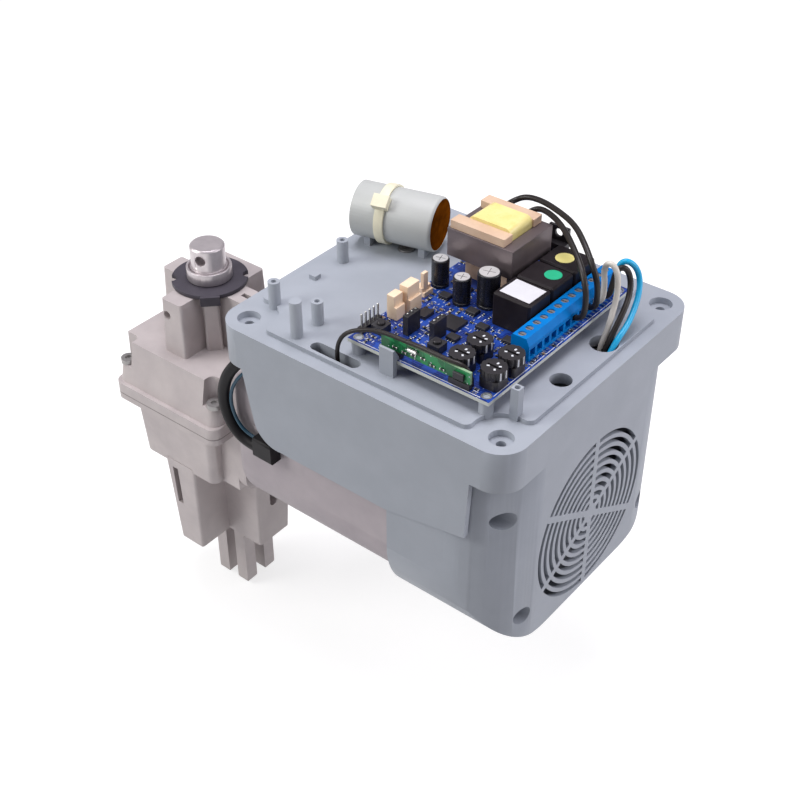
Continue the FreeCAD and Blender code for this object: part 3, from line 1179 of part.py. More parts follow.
def make_electrolytic_capacitors():
    """Sleeved cans with the crimp groove near the board and a rounded top edge."""
    cans = []
    for x, y, radius, height in ELCO_PLACES:
        z1 = BOARD_Z + height
        can = upright(radius, x, y, BOARD_Z, z1)
        rim = [e for e in can.Edges if abs(e.BoundBox.ZMin - z1) < 1e-6]
        can = can.makeFillet(0.7, rim)
        groove = Part.makeTorus(radius + 0.3, 0.7, V(x, y, BOARD_Z + ELCO_GROOVE_Z), AZ)
        cans.append(can.cut(groove))
    return cans


def make_receiver_board():
    half = RECEIVER_THICKNESS / 2
    return box(RECEIVER_X0, RECEIVER_X1, RECEIVER_Y - half, RECEIVER_Y + half,
               BOARD_Z + RECEIVER_LIFT, BOARD_Z + RECEIVER_HEIGHT)


def make_wire_connectors():
    """Pale plug housings, each with a shallow locking step down one side."""
    plugs = []
    for x, y, long, wide, high in PLUG_PLACES:
        plug = box(x - long / 2, x + long / 2, y - wide / 2, y + wide / 2, BOARD_Z, BOARD_Z + high)
        step = box(x + long / 2 - 1.2, x + long / 2, y - wide / 2, y + wide / 2,
                   BOARD_Z + high * 0.55, BOARD_Z + high)
        plugs.append(plug.cut(step))
    x, y, long, wide, high = PLUG_LATCH
    latch = box(x - long / 2, x + long / 2, y - wide / 2, y + wide / 2, BOARD_Z, BOARD_Z + high)
    plugs[-1] = fuse([plugs[-1], latch])
    return plugs


def make_pin_headers():
    """Two tall socket strips, the two feet of the receiver and one row of bare pins."""
    half = RECEIVER_THICKNESS
    feet_z1 = BOARD_Z + RECEIVER_LIFT
    headers = [box(x, x + RECEIVER_FOOT, RECEIVER_Y - half, RECEIVER_Y + half, BOARD_Z, feet_z1)
               for x in (RECEIVER_X0, RECEIVER_X1 - RECEIVER_FOOT)]
    for x, y in HEADER_PLACES:
        header = box(x - HEADER_WIDTH / 2, x + HEADER_WIDTH / 2, y - HEADER_LENGTH / 2, y + HEADER_LENGTH / 2,
                     BOARD_Z, BOARD_Z + HEADER_HEIGHT)
        headers.append(header)
    x, y0 = PIN_PLACE
    half = PIN_PITCH / 2
    strip = box(x - half, x + half, y0 - half, y0 + (PIN_COUNT - 0.5) * PIN_PITCH, BOARD_Z, BOARD_Z + 2.5)
    pins = []
    for n in range(PIN_COUNT):
        y = y0 + n * PIN_PITCH
        side = PIN_SIDE / 2
        pins.append(box(x - side, x + side, y - side, y + side, BOARD_Z, BOARD_Z + PIN_HEIGHT))
    return headers + [fuse([strip] + pins)]


def power_triac():
    """Tabbed power package standing on its legs behind the relays."""
    x, y = TRIAC_PLACE
    half = TRIAC_WIDTH / 2
    foot = BOARD_Z + TRIAC_LEG
    body = box(x - half, x + half, y - TRIAC_BODY / 2, y + TRIAC_BODY / 2, foot, foot + TRIAC_HEIGHT * 0.6)
    tab = box(x - half, x + half, y + TRIAC_BODY / 2 - 1.3, y + TRIAC_BODY / 2, foot, foot + TRIAC_HEIGHT)
    eye = Part.makeCylinder(1.8, 4.0, V(x, y, foot + TRIAC_HEIGHT * 0.82), AY)
    leg = 0.4
    legs = [box(x + n * PIN_PITCH - leg, x + n * PIN_PITCH + leg, y - leg, y + leg, BOARD_Z, foot + 0.5)
            for n in (-1, 0, 1)]
    return fuse([body, tab] + legs).cut(eye)


def make_control_chips():
    chips = [box(x - long / 2, x + long / 2, y - wide / 2, y + wide / 2, BOARD_Z, BOARD_Z + high)
             for x, y, long, wide, high in CHIP_PLACES]
    return chips + [power_triac()]


def make_capacitor_can():
    can = can_slice(CAN_R, 0, CAN_LENGTH)
    rim = [e for e in can.Edges if e.Length > 6 * CAN_R][:1]
    can = can.makeFillet(2.0, rim)
    return can.cut(can_slice(CAN_R - CAN_WALL, CAN_LENGTH - CAN_RECESS, CAN_RECESS))


def make_capacitor_end_disc():
    return can_slice(CAN_R - CAN_WALL, CAN_LENGTH - CAN_RECESS, END_DISC)


def make_capacitor_tie():
    """Cable tie round the capacitor with its ratchet head on top."""
    band = can_slice(CAN_R + TIE_THICKNESS, TIE_FROM_END, TIE_WIDTH)
    inside = CAN_R - TIE_THICKNESS
    head = Part.makeBox(TIE_HEAD_WIDTH, TIE_HEAD, CAN_R + TIE_HEAD_PROUD - inside,
                        V(-TIE_HEAD_WIDTH / 2, -TIE_HEAD / 2, inside))
    head.rotate(V(0, 0, 0), AX, TIE_HEAD_TURN)
    head.rotate(V(0, 0, 0), AZ, CAN_TURN)
    head.translate(can_start() + can_axis() * (TIE_FROM_END + TIE_WIDTH / 2))
    return band.fuse(head).cut(can_slice(CAN_R, 0, CAN_LENGTH))


def make_cable_grommet():
    """Rubber block on the motor's side where the sensor cable goes in."""
    block = box(GROMMET_X0, GROMMET_X1, GROMMET_Y0, MOTOR_SIDE_Y, GROMMET_Z0, GROMMET_Z1)
    outer = [e for e in block.Edges if e.BoundBox.YMax < GROMMET_Y0 + 0.1]
    return block.makeFillet(1.5, [e for e in outer if e.BoundBox.XMax - e.BoundBox.XMin > 1])


def make_motor_plug():
    """Nylon plug on the shroud's roof where the three motor leads come up from the winding."""
    return slab(PLUG_X0, PLUG_X1, PLUG_Y0, PLUG_Y1, SHROUD_ROOF_Z, PLUG_TOP_Z, 1.0)


def into_terminal(pole):
    """Last two points of a lead that turns into the wire mouth of one terminal."""
    y = pole_middles()[pole]
    z = BOARD_Z + TERMINAL_MOUTH_Z + TERMINAL_MOUTH_H / 2
    return [(TERMINAL_X1 + 3.4, y, z), (TERMINAL_X1 - TERMINAL_MOUTH_DEPTH, y, z)]


def lead_routes():
    """Radius and points of each loose lead, from where it leaves one piece to where it meets the next."""
    rail_y = CORE_Y1 - BOBBIN_INSET
    rail_z = BOARD_Z + CORE_RISE + CORE_STACK + BOBBIN_RAIL / 2
    aerial_z = BOARD_Z + RECEIVER_HEIGHT + AERIAL_R
    grommet_y = (GROMMET_Y0 + MOTOR_SIDE_Y) / 2
    return {
        "terminal_lead_1": (LEAD_R, [
            (117.0, rail_y, rail_z), (117.0, rail_y + 4.8, rail_z), (121.8, 72.6, 45.4), (131.0, 71.0, 47.0),
            (142.5, 66.4, 47.8), (153.5, 60.9, 48.0), (163.3, 53.2, 46.0), (170.3, 48.0, 42.0),
            (174.0, 46.7, 36.5), (174.6, 47.2, 29.6)] + into_terminal(8)),
        "terminal_lead_2": (LEAD_R, [
            (128.0, rail_y, rail_z), (128.0, rail_y + 4.4, rail_z), (133.0, 69.0, 44.6), (142.3, 64.6, 45.2),
            (151.8, 57.3, 45.5), (161.2, 49.4, 44.0), (168.0, 43.8, 41.5), (173.0, 39.8, 36.8),
            (174.6, 38.6, 29.6)] + into_terminal(6)),
        "motor_lead_black": (LEAD_R, [
            (181.2, 43.8, PLUG_TOP_Z), (181.2, 43.8, 4.5), (182.4, 48.0, 13.0), (182.4, 55.8, 20.3),
            (180.8, 62.8, 25.2), (178.8, 65.6, 30.4), (176.8, 64.4, 35.2), (174.4, 61.4, 35.2),
            (174.0, 59.9, 29.8)] + into_terminal(10)),
        "motor_lead_white": (LEAD_R, [
            (178.2, 46.6, PLUG_TOP_Z), (178.2, 46.6, 5.0), (179.4, 49.4, 13.0), (179.4, 52.4, 20.7),
            (179.4, 54.4, 27.5), (178.8, 55.3, 32.6), (178.0, 55.4, 37.2), (175.9, 55.0, 40.8),
            (173.2, 54.7, 40.4), (172.2, 54.6, 36.4), (173.2, 54.7, 30.6)] + into_terminal(9)),
        "motor_lead_blue": (LEAD_R, [
            (184.2, 41.9, PLUG_TOP_Z), (184.2, 41.9, 4.5), (185.1, 48.3, 12.2), (185.1, 54.8, 15.0),
            (184.0, 61.5, 18.4), (182.2, 68.0, 23.4), (180.2, 70.8, 28.8), (178.0, 69.8, 34.0),
            (174.9, 66.8, 36.8), (172.8, 64.9, 34.2), (173.2, 64.7, 28.4)] + into_terminal(11)),
        "antenna_wire": (AERIAL_R, [
            (100.0, -15.0, MOTOR_TOP_Z), (100.0, -15.0, -13.0), (101.5, -22.0, -6.0), (102.7, -28.0, 2.0),
            (102.6, -29.0, 11.0), (103.2, -28.7, 17.0), (106.0, -27.5, 22.0), (112.0, -25.2, 25.0),
            (120.5, -22.6, aerial_z + 0.3), (131.0, -21.7, aerial_z + 0.1), (142.0, -21.4, aerial_z + 0.3),
            (151.5, -21.5, aerial_z + 0.2), (158.8, -20.2, aerial_z - 0.2), (161.5, -19.0, BOARD_Z + 4.4),
            (161.5, -19.0, BOARD_Z)]),
        "sensor_cable": (CABLE_R, [
            (GROMMET_X0, grommet_y, -56.8), (50.8, grommet_y, -56.8), (44.6, -34.0, -52.4),
            (40.9, -34.6, -44.6), (39.6, -34.8, -35.4), (41.6, -34.4, -26.0), (46.0, -33.0, -18.0),
            (52.0, -30.4, -12.0), (58.6, -27.0, -8.0), (65.6, -25.0, -6.5), (CLAMP_X0, -25.0, -6.5)]),
        "sensor_wire": (SIGNAL_R, [
            (GROMMET_X0, grommet_y, -52.2), (52.6, grommet_y, -52.2), (48.0, -34.0, -48.8),
            (45.3, -34.6, -42.6), (44.2, -34.8, -35.4), (45.7, -34.4, -28.2), (49.6, -33.0, -21.4),
            (55.0, -30.0, -15.8), (60.4, -27.0, -12.0), (66.4, -24.4, -10.0), (CLAMP_X0, -24.4, -10.0)]),
    }


def cord(name, radius, points):
    """Tube along straight runs joined by tangent arcs, each as large as its runs allow."""
    points = [V(*p) for p in points]
    edges = []
    start = points[0]
    radii = []
    for before, corner, after in zip(points, points[1:], points[2:]):
        back = before - corner
        ahead = after - corner
        reach = 0.45 * min(back.Length, ahead.Length)
        back.normalize()
        ahead.normalize()
        half_turn = (math.pi - back.getAngle(ahead)) / 2
        radii.append(reach / math.tan(half_turn))
        first = corner + back * reach
        last = corner + ahead * reach
        bisector = back + ahead
        bisector.normalize()
        apex = corner + bisector * (radii[-1] / math.cos(half_turn) - radii[-1])
        edges.append(Part.LineSegment(start, first).toShape())
        edges.append(Part.Arc(first, apex, last).toShape())
        start = last
    edges.append(Part.LineSegment(start, points[-1]).toShape())
    path = Part.Wire(edges)
    section = Part.Wire(Part.Circle(points[0], points[1] - points[0], radius).toShape())
    tube = path.makePipeShell([section], True, False)
    print(name, "length %.0f" % path.Length, "radii", " ".join("%.1f" % r for r in radii),
          "volume ratio %.4f" % (tube.Volume / (math.pi * radius ** 2 * path.Length)))
    return tube


def save(name, shape):
    solids = shape if isinstance(shape, list) else [shape]
    whole = solids[0] if len(solids) == 1 else Part.makeCompound(solids)
    if not whole.isValid():
        print("invalid", name)
    whole.exportStep("parts/%s.step" % name)


os.makedirs("parts", exist_ok=True)

upper_bush_z0 = UPPER_LUG_TOP_Z - UPPER_BUSH_LENGTH
lower_bush_z1 = WORM_AXIS_Z - CHAMBER_HALF_HEIGHT
worm_end_x = -WORM_HALF_LENGTH - 1.5

save("gearbox_body", make_gearbox_body())
save("gearbox_lid", make_gearbox_lid())
save("gearbox_gasket", make_gearbox_gasket())
save("lid_screws", make_lid_screws())
save("upper_bush", make_bush(SHAFT_JOURNAL_R, upper_bush_z0, UPPER_LUG_TOP_Z))
save("lower_bush", make_bush(SHAFT_FOOT_R, lower_bush_z1 - LOWER_BUSH_LENGTH, lower_bush_z1))
save("dust_seal", make_dust_seal())
save("output_shaft", make_output_shaft())
save("shaft_collar", make_shaft_collar())
save("wheel_key", key_block())
save("worm_wheel", make_worm_wheel())
save("motor_shaft", make_motor_shaft())
save("worm_end_bearing", bearing(END_BEARING_BORE_R, END_BEARING_R, worm_end_x - END_BEARING_WIDTH,
                                 END_BEARING_WIDTH))
save("front_bearing", bearing(FRONT_BEARING_BORE_R, FRONT_BEARING_R, MOTOR_X0 + 1, FRONT_BEARING_WIDTH))
save("rear_bearing", bearing(REAR_BEARING_BORE_R, REAR_BEARING_R, MOTOR_X1, REAR_BEARING_WIDTH))
save("motor_case", make_motor_case())
save("motor_flange_screws", make_motor_flange_screws())
save("stator_core", make_stator_core())
save("stator_windings", make_stator_windings())
save("rotor_core", make_rotor_core())
save("motor_end_shield", make_motor_end_shield())
save("cooling_fan", make_cooling_fan())
save("fan_shroud", make_fan_shroud())
save("shroud_screws", make_shroud_screws())
save("electronics_tray", make_electronics_tray())
save("tray_screws", make_tray_screws())
save("control_board", make_control_board())
save("trimmer_bases", make_trimmer_bases())
for number, place in enumerate([(x, y) for x in TRIMMER_X for y in TRIMMER_Y], start=1):
    save("trimmer_knob_%d" % number, make_trimmer_knob(*place))
save("tact_switch_bodies", make_tact_switch_bodies())
for number, place in enumerate(TACT_PLACES, start=1):
    save("tact_button_%d" % number, make_tact_button(*place))
save("terminal_block", make_terminal_block())
save("terminal_screws", make_terminal_screws())
save("relays", make_relays())
save("transformer_core", make_transformer_core())
save("transformer_bobbin", make_transformer_bobbin())
save("transformer_coil", make_transformer_coil())
save("electrolytic_capacitors", make_electrolytic_capacitors())
save("receiver_board", make_receiver_board())
save("wire_connectors", make_wire_connectors())
save("pin_headers", make_pin_headers())
save("control_chips", make_control_chips())
save("capacitor_can", make_capacitor_can())
save("capacitor_end_disc", make_capacitor_end_disc())
save("capacitor_tie", make_capacitor_tie())
save("cable_grommet", make_cable_grommet())
save("motor_plug", make_motor_plug())
for lead, (radius, route) in lead_routes().items():
    save(lead, cord(lead, radius, route))
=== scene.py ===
import math
import random

import bmesh
import bpy
from mathutils import Matrix, Vector


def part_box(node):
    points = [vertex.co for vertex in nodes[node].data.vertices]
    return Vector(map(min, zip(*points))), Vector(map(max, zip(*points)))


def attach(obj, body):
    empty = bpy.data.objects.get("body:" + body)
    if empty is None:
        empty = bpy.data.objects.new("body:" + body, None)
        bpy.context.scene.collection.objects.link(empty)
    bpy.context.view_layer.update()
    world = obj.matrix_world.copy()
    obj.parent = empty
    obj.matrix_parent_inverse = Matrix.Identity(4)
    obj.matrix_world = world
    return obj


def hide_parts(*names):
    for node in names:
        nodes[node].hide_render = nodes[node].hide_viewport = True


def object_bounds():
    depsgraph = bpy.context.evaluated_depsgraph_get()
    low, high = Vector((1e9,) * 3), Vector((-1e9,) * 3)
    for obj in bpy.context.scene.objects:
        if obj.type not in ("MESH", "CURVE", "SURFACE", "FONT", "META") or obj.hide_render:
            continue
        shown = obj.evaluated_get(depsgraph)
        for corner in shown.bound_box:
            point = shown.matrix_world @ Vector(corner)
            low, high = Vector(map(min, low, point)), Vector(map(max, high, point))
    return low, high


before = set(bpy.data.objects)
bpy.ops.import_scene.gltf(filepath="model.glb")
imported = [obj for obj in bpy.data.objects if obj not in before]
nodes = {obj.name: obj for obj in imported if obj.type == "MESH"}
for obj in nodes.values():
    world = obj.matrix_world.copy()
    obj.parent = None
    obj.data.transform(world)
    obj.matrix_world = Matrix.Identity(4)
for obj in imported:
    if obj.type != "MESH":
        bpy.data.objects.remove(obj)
size_at_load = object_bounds()
scene = bpy.context.scene
MM = 0.001

# The picture is taken from above the fan end's front corner with a short telephoto,
# which puts the gearbox at the left and the grille at the right.
lens_at = Vector((0.3941, -0.3523, 0.3165))
azimuth, elevation = math.radians(38.73), math.radians(37.07)
towards_lens = Vector((math.sin(azimuth) * math.cos(elevation),
                       -math.cos(azimuth) * math.cos(elevation),
                       math.sin(elevation)))
camera = bpy.data.objects.new("camera", bpy.data.cameras.new("camera"))
camera.data.lens = 60.0
camera.data.sensor_width = 36.0
camera.data.clip_start = 0.02
camera.location = lens_at
camera.rotation_mode = "QUATERNION"
camera.rotation_quaternion = (-towards_lens).to_track_quat("-Z", "Y")
scene.collection.objects.link(camera)
scene.camera = camera


# Eight loose leads: two from the transformer's rear rail over the relays to the terminals, three
# motor leads looped from the tray's hole to the terminals, an aerial lying on the receiver strip,
# and a rubber cable with a thin wire from the motor's grommet up under the tray. PVC and rubber.
def hexa(code):
    """Linear colour of an sRGB hex code."""
    channels = [int(code[i:i + 2], 16) / 255 for i in (0, 2, 4)]
    linear = [c / 12.92 if c <= 0.04045 else ((c + 0.055) / 1.055) ** 2.4 for c in channels]
    return (*linear, 1.0)


def add(tree, kind, *ordered, **settings):
    """Adds a node, or takes up one that is there, and fills its inputs in order and by name.

    A value that is another node's socket is linked, and any other is set."""
    node = kind if isinstance(kind, bpy.types.Node) else tree.nodes.new(kind)
    filled = list(zip(node.inputs, ordered))
    for name, value in settings.items():
        if name in node.bl_rna.properties:
            setattr(node, name, value)
        else:
            filled.append((node.inputs[name.replace("_", " ")], value))
    for socket, value in filled:
        if isinstance(value, bpy.types.NodeSocket):
            tree.links.new(value, socket)
        else:
            socket.default_value = value
    return node


def finish(name, light, dark, grain, rough, metal=0.0, bump=0.0, broad=14.0, shine=0.5):
    """Finish that drifts between two close tones, with a fine grit in its gloss and relief.

    grain and bump are in mm; the drift of tone is broad times as wide as the grain, and a shine
    of 0.5 is a plain plastic's mirror reflection."""
    tone_stops = ((0.32, dark), (0.68, light))
    gloss_spread = 0.07
    made = bpy.data.materials.new(name)
    made.use_nodes = True
    tree = made.node_tree
    place = add(tree, "ShaderNodeTexCoord").outputs["Object"]
    drift = add(tree, "ShaderNodeTexNoise", Vector=place, Scale=1 / (grain * broad * MM),
                Detail=5.0, Roughness=0.6)
    grit = add(tree, "ShaderNodeTexNoise", Vector=place, Scale=1 / (grain * MM), Detail=3.0)
    tones = add(tree, "ShaderNodeValToRGB", Fac=drift.outputs["Fac"])
    for stop, (position, tone) in zip(tones.color_ramp.elements, tone_stops):
        stop.position = position
        stop.color = hexa(tone)
    gloss = add(tree, "ShaderNodeMapRange", Value=grit.outputs["Fac"],
                To_Min=rough - gloss_spread, To_Max=rough + gloss_spread)
    shader = add(tree, tree.nodes["Principled BSDF"], Base_Color=tones.outputs["Color"],
                 Roughness=gloss.outputs["Result"], Metallic=metal, Specular_IOR_Level=shine)
    if bump:
        relief = add(tree, "ShaderNodeBump", Height=grit.outputs["Fac"], Distance=bump * MM)
        add(tree, shader, Normal=relief.outputs["Normal"])
    return made


# Extruded PVC is smooth and half shiny, so a lead carries a soft streak of light along its top.
black_pvc = finish("black PVC insulation", "2a2524", "1e1a19", grain=0.6, rough=0.38, shine=0.35)
white_pvc = finish("white PVC insulation", "dedad2", "d2cdc3", grain=0.6, rough=0.42)
blue_pvc = finish("blue PVC insulation", "12b0e2", "0ca2d4", grain=0.6, rough=0.36)
dark_blue_pvc = finish("dark blue PVC insulation", "1b4a60", "153f54", grain=0.6, rough=0.4)
# Cured rubber is duller, with a fine grit that breaks the streak up.
cable_rubber = finish("black cable rubber", "1b191c", "131114", grain=0.5, rough=0.5,
                      bump=0.03, shine=0.25)


def lead(name, material, diameter, points):
    """A lead along given points that stands for the node of its name; millimetres."""
    line = bpy.data.curves.new(name + "_run", "CURVE")
    line.dimensions = "3D"
    line.bevel_depth = diameter / 2 * MM
    line.bevel_resolution = 6
    line.resolution_u = 10
    line.use_fill_caps = True
    spline = line.splines.new("NURBS")
    spline.points.add(len(points) - 1)
    for knot, place in zip(spline.points, points):
        knot.co = (*(Vector(place) * MM), 1.0)
    spline.order_u = 3
    spline.use_endpoint_u = True
    run = bpy.data.objects.new(name + "_run", line)
    scene.collection.objects.link(run)
    line.materials.append(material)
    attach(run, "chassis")
    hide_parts(name)


lead("terminal_lead_1", black_pvc, diameter=2.5, points=[
    (117.0, 65.2, 42.8), (117.0, 70.0, 42.8), (121.8, 72.6, 45.4), (131.0, 71.0, 47.0),
    (142.5, 66.4, 47.8), (153.5, 60.9, 48.0), (163.3, 53.2, 46.0), (170.3, 48.0, 42.0),
    (174.0, 46.7, 36.5), (174.6, 47.2, 29.6), (173.0, 49.5, 20.4), (165.6, 49.5, 20.4)])
lead("terminal_lead_2", black_pvc, diameter=2.5, points=[
    (128.0, 65.2, 42.8), (128.0, 69.6, 42.8), (133.0, 69.0, 44.6), (142.3, 64.6, 45.2),
    (151.8, 57.3, 45.5), (161.2, 49.4, 44.0), (168.0, 43.8, 41.5), (173.0, 39.8, 36.8),
    (174.6, 38.6, 29.6), (173.0, 39.5, 20.4), (165.6, 39.5, 20.4)])
lead("motor_lead_black", black_pvc, diameter=2.5, points=[
    (181.2, 43.8, -3.0), (181.2, 43.8, 4.5), (182.4, 48.0, 13.0), (182.4, 55.8, 20.3),
    (180.8, 62.8, 25.2), (178.8, 65.6, 30.4), (176.8, 64.4, 35.2), (174.4, 61.4, 35.2),
    (174.0, 59.9, 29.8), (173.0, 59.5, 20.4), (165.6, 59.5, 20.4)])
lead("motor_lead_white", white_pvc, diameter=2.5, points=[
    (178.2, 46.6, -3.0), (178.2, 46.6, 5.0), (179.4, 49.4, 13.0), (179.4, 52.4, 20.7),
    (179.4, 54.4, 27.5), (178.8, 55.3, 32.6), (178.0, 55.4, 37.2), (175.9, 55.0, 40.8),
    (173.2, 54.7, 40.4), (172.2, 54.6, 36.4), (173.2, 54.7, 30.6), (173.0, 54.5, 20.4),
    (165.6, 54.5, 20.4)])
lead("motor_lead_blue", blue_pvc, diameter=2.5, points=[
    (184.2, 41.9, -3.0), (184.2, 41.9, 4.5), (185.1, 48.3, 12.2), (185.1, 54.8, 15.0),
    (184.0, 61.5, 18.4), (182.2, 68.0, 23.4), (180.2, 70.8, 28.8), (178.0, 69.8, 34.0),
    (174.9, 66.8, 36.8), (172.8, 64.9, 34.2), (173.2, 64.7, 28.4), (173.0, 64.5, 20.4),
    (165.6, 64.5, 20.4)])
lead("antenna_wire", black_pvc, diameter=1.8, points=[
    (100.0, -15.0, -20.0), (100.0, -15.0, -13.0), (101.5, -22.0, -6.0), (102.7, -28.0, 2.0),
    (102.6, -29.0, 11.0), (103.2, -28.7, 17.0), (106.0, -27.5, 22.0), (112.0, -25.2, 25.0),
    (120.5, -22.6, 26.2), (131.0, -21.7, 26.0), (142.0, -21.4, 26.2), (151.5, -21.5, 26.1),
    (158.8, -20.2, 25.7), (161.5, -19.0, 21.4), (161.5, -19.0, 17.0)])
lead("sensor_cable", cable_rubber, diameter=5.4, points=[
    (57.0, -33.15, -56.8), (50.8, -33.15, -56.8), (44.6, -34.0, -52.4), (40.9, -34.6, -44.6),
    (39.6, -34.8, -35.4), (41.6, -34.4, -26.0), (46.0, -33.0, -18.0), (52.0, -30.4, -12.0),
    (58.6, -27.0, -8.0), (65.6, -25.0, -6.5), (72.0, -25.0, -6.5)])
lead("sensor_wire", dark_blue_pvc, diameter=1.6, points=[
    (57.0, -33.15, -52.2), (52.6, -33.15, -52.2), (48.0, -34.0, -48.8), (45.3, -34.6, -42.6),
    (44.2, -34.8, -35.4), (45.7, -34.4, -28.2), (49.6, -33.0, -21.4), (55.0, -30.0, -15.8),
    (60.4, -27.0, -12.0), (66.4, -24.4, -10.0), (72.0, -24.4, -10.0)])


# Gearbox: two pressure die castings in aluminium, shot-blasted, clamped on a fibre gasket by
# socket screws in the corner pockets. The towers plug into the guide rail's head.
def dress(material, *names, edge=0.0):
    """Gives nodes their finish and, where edge is set, a small round on sharp edges; mm."""
    weld_gap, sharp_from = 0.002, math.radians(32)
    for name in names:
        node = nodes[name]
        node.data.materials.clear()
        node.data.materials.append(material)
        if edge:
            joined = node.modifiers.new("joined", "WELD")
            joined.merge_threshold = weld_gap * MM
            rounded = node.modifiers.new("rounded", "BEVEL")
            rounded.width = edge * MM
            rounded.segments = 2
            rounded.limit_method = "ANGLE"
            rounded.angle_limit = sharp_from
            rounded.harden_normals = True


# Blasting leaves a pale, even, satin skin that scatters light; the grit is drawn at 0.35 mm to
# show. Worn zinc plate is a plain dull grey, and pressed fibre is matt.
cast_aluminium = finish("shot-blasted cast aluminium", "c5bdbc", "b9b1b1", grain=0.35, rough=0.5,
                        metal=0.25, bump=0.03, broad=40)
zinc = finish("dull zinc plate", "a9a7a6", "9a9897", grain=0.4, rough=0.42, metal=0.8)
gasket = finish("pressed fibre gasket", "8f8886", "847d7b", grain=0.4, rough=0.8)
dress(cast_aluminium, "gearbox_body", "gearbox_lid", edge=0.7)
dress(gasket, "gearbox_gasket")
dress(zinc, "lid_screws", "motor_flange_screws", edge=0.2)

# Output: a ground steel shaft with a cross hole for the drive pin, its pressed collar, and the
# bronze wheel keyed on it inside the gearbox; bronze bushes carry it and a rubber disc seals it.

# Grinding leaves a bright skin with soft bands of light; bronze is warmer, and rubber is matt.
ground_steel = finish("ground steel", "d8d1d3", "ccc5c8", grain=0.3, rough=0.36, metal=0.75)
bronze = finish("cast bronze", "c08a4a", "a87840", grain=0.4, rough=0.38, metal=1.0)
seal_rubber = finish("nitrile seal rubber", "413d47", "38343e", grain=0.5, rough=0.6, bump=0.03)
dress(ground_steel, "output_shaft", "wheel_key", "shaft_collar", edge=0.2)
dress(bronze, "worm_wheel", "upper_bush", "lower_bush")
dress(seal_rubber, "dust_seal", edge=0.3)

# Motor: a sand-cast aluminium case, its tone set darker than the gearbox's as painted shade from
# the tray above it, round a laminated stator with varnished copper heads; sealed ball bearings
# carry the steel shaft with the rotor and the black moulded fan on its tail. A rubber grommet on
# the case's side holds the cable.

# The sand leaves a coarse, dull skin, drawn at 0.4 mm to show; sheet steel is a plain grey,
# varnish deepens the copper, and the glass in the fan's nylon takes off its shine.
# The case's darker tone is painted shade, for the shade the tray casts on the motor below it.
sand_cast_shaded = finish("sand-cast aluminium with painted shade", "b0a8ac", "a59da2", grain=0.4, rough=0.52,
                   metal=0.25, bump=0.035, broad=40)
laminations = finish("electrical sheet steel", "85827f", "767370", grain=0.3, rough=0.42,
                     metal=0.75)
copper = finish("varnished copper", "a3562b", "7c3a1a", grain=0.5, rough=0.35, metal=0.6)
fan_nylon = finish("black glass-filled nylon", "232427", "1a1b1d", grain=0.5, rough=0.5)
dress(sand_cast_shaded, "motor_case", "motor_end_shield", edge=0.6)
dress(laminations, "stator_core", "rotor_core")
dress(copper, "stator_windings")
dress(ground_steel, "motor_shaft", edge=0.2)
dress(ground_steel, "front_bearing", "rear_bearing", "worm_end_bearing")
dress(fan_nylon, "cooling_fan")
dress(cable_rubber, "cable_grommet", edge=0.3)

# Fan shroud and electronics tray: injection mouldings in the same blue-grey ABS with a fine
# spark-eroded skin. The shroud screws to the motor's corners and the tray to its top.

# The eroded mould gives an even satin without streaks; its grit is drawn at 0.3 mm to show.
grey_abs = finish("blue-grey ABS", "a3a9b2", "9da3ac", grain=0.3, rough=0.5, bump=0.014, broad=60)
dress(grey_abs, "fan_shroud", "electronics_tray", edge=0.5)
dress(zinc, "shroud_screws", "tray_screws", edge=0.2)

# Motor capacitor: a plastic-sleeved can lying across the tray, closed by a brown laminate disc
# and held by a nylon cable tie round its middle.

# The sleeve is smooth and softly shiny, the laminate a flat, mottled brown, and the tie waxy.
can_plastic = finish("light grey can plastic", "bdc0be", "b5b8b6", grain=0.5, rough=0.45, broad=60)
laminate = finish("brown laminate", "743d08", "4c2504", grain=0.7, rough=0.3, broad=8, shine=0.0)
tie_nylon = finish("cream nylon tie", "ece8cf", "e2ddc2", grain=0.6, rough=0.42)
dress(can_plastic, "capacitor_can", edge=0.4)
dress(laminate, "capacitor_end_disc")
dress(tie_nylon, "capacitor_tie", edge=0.25)


# Control board and receiver strip: solder-masked glass laminate, the blue board on the tray's
# standoffs and the green strip upright on the blue one. Copper shows through the mask as paler
# fields and tracks, plated holes as bright dots, and the cut edge is pale.
def paint_over(made, mask, colour):
    """Lays one more colour over a finish where the mask is 1."""
    tree = made.node_tree
    shader = tree.nodes["Principled BSDF"]
    under = shader.inputs["Base Color"].links[0].from_socket
    mixed = add(tree, "ShaderNodeMixRGB", Fac=mask, Color1=under, Color2=hexa(colour))
    add(tree, shader, Base_Color=mixed.outputs["Color"])


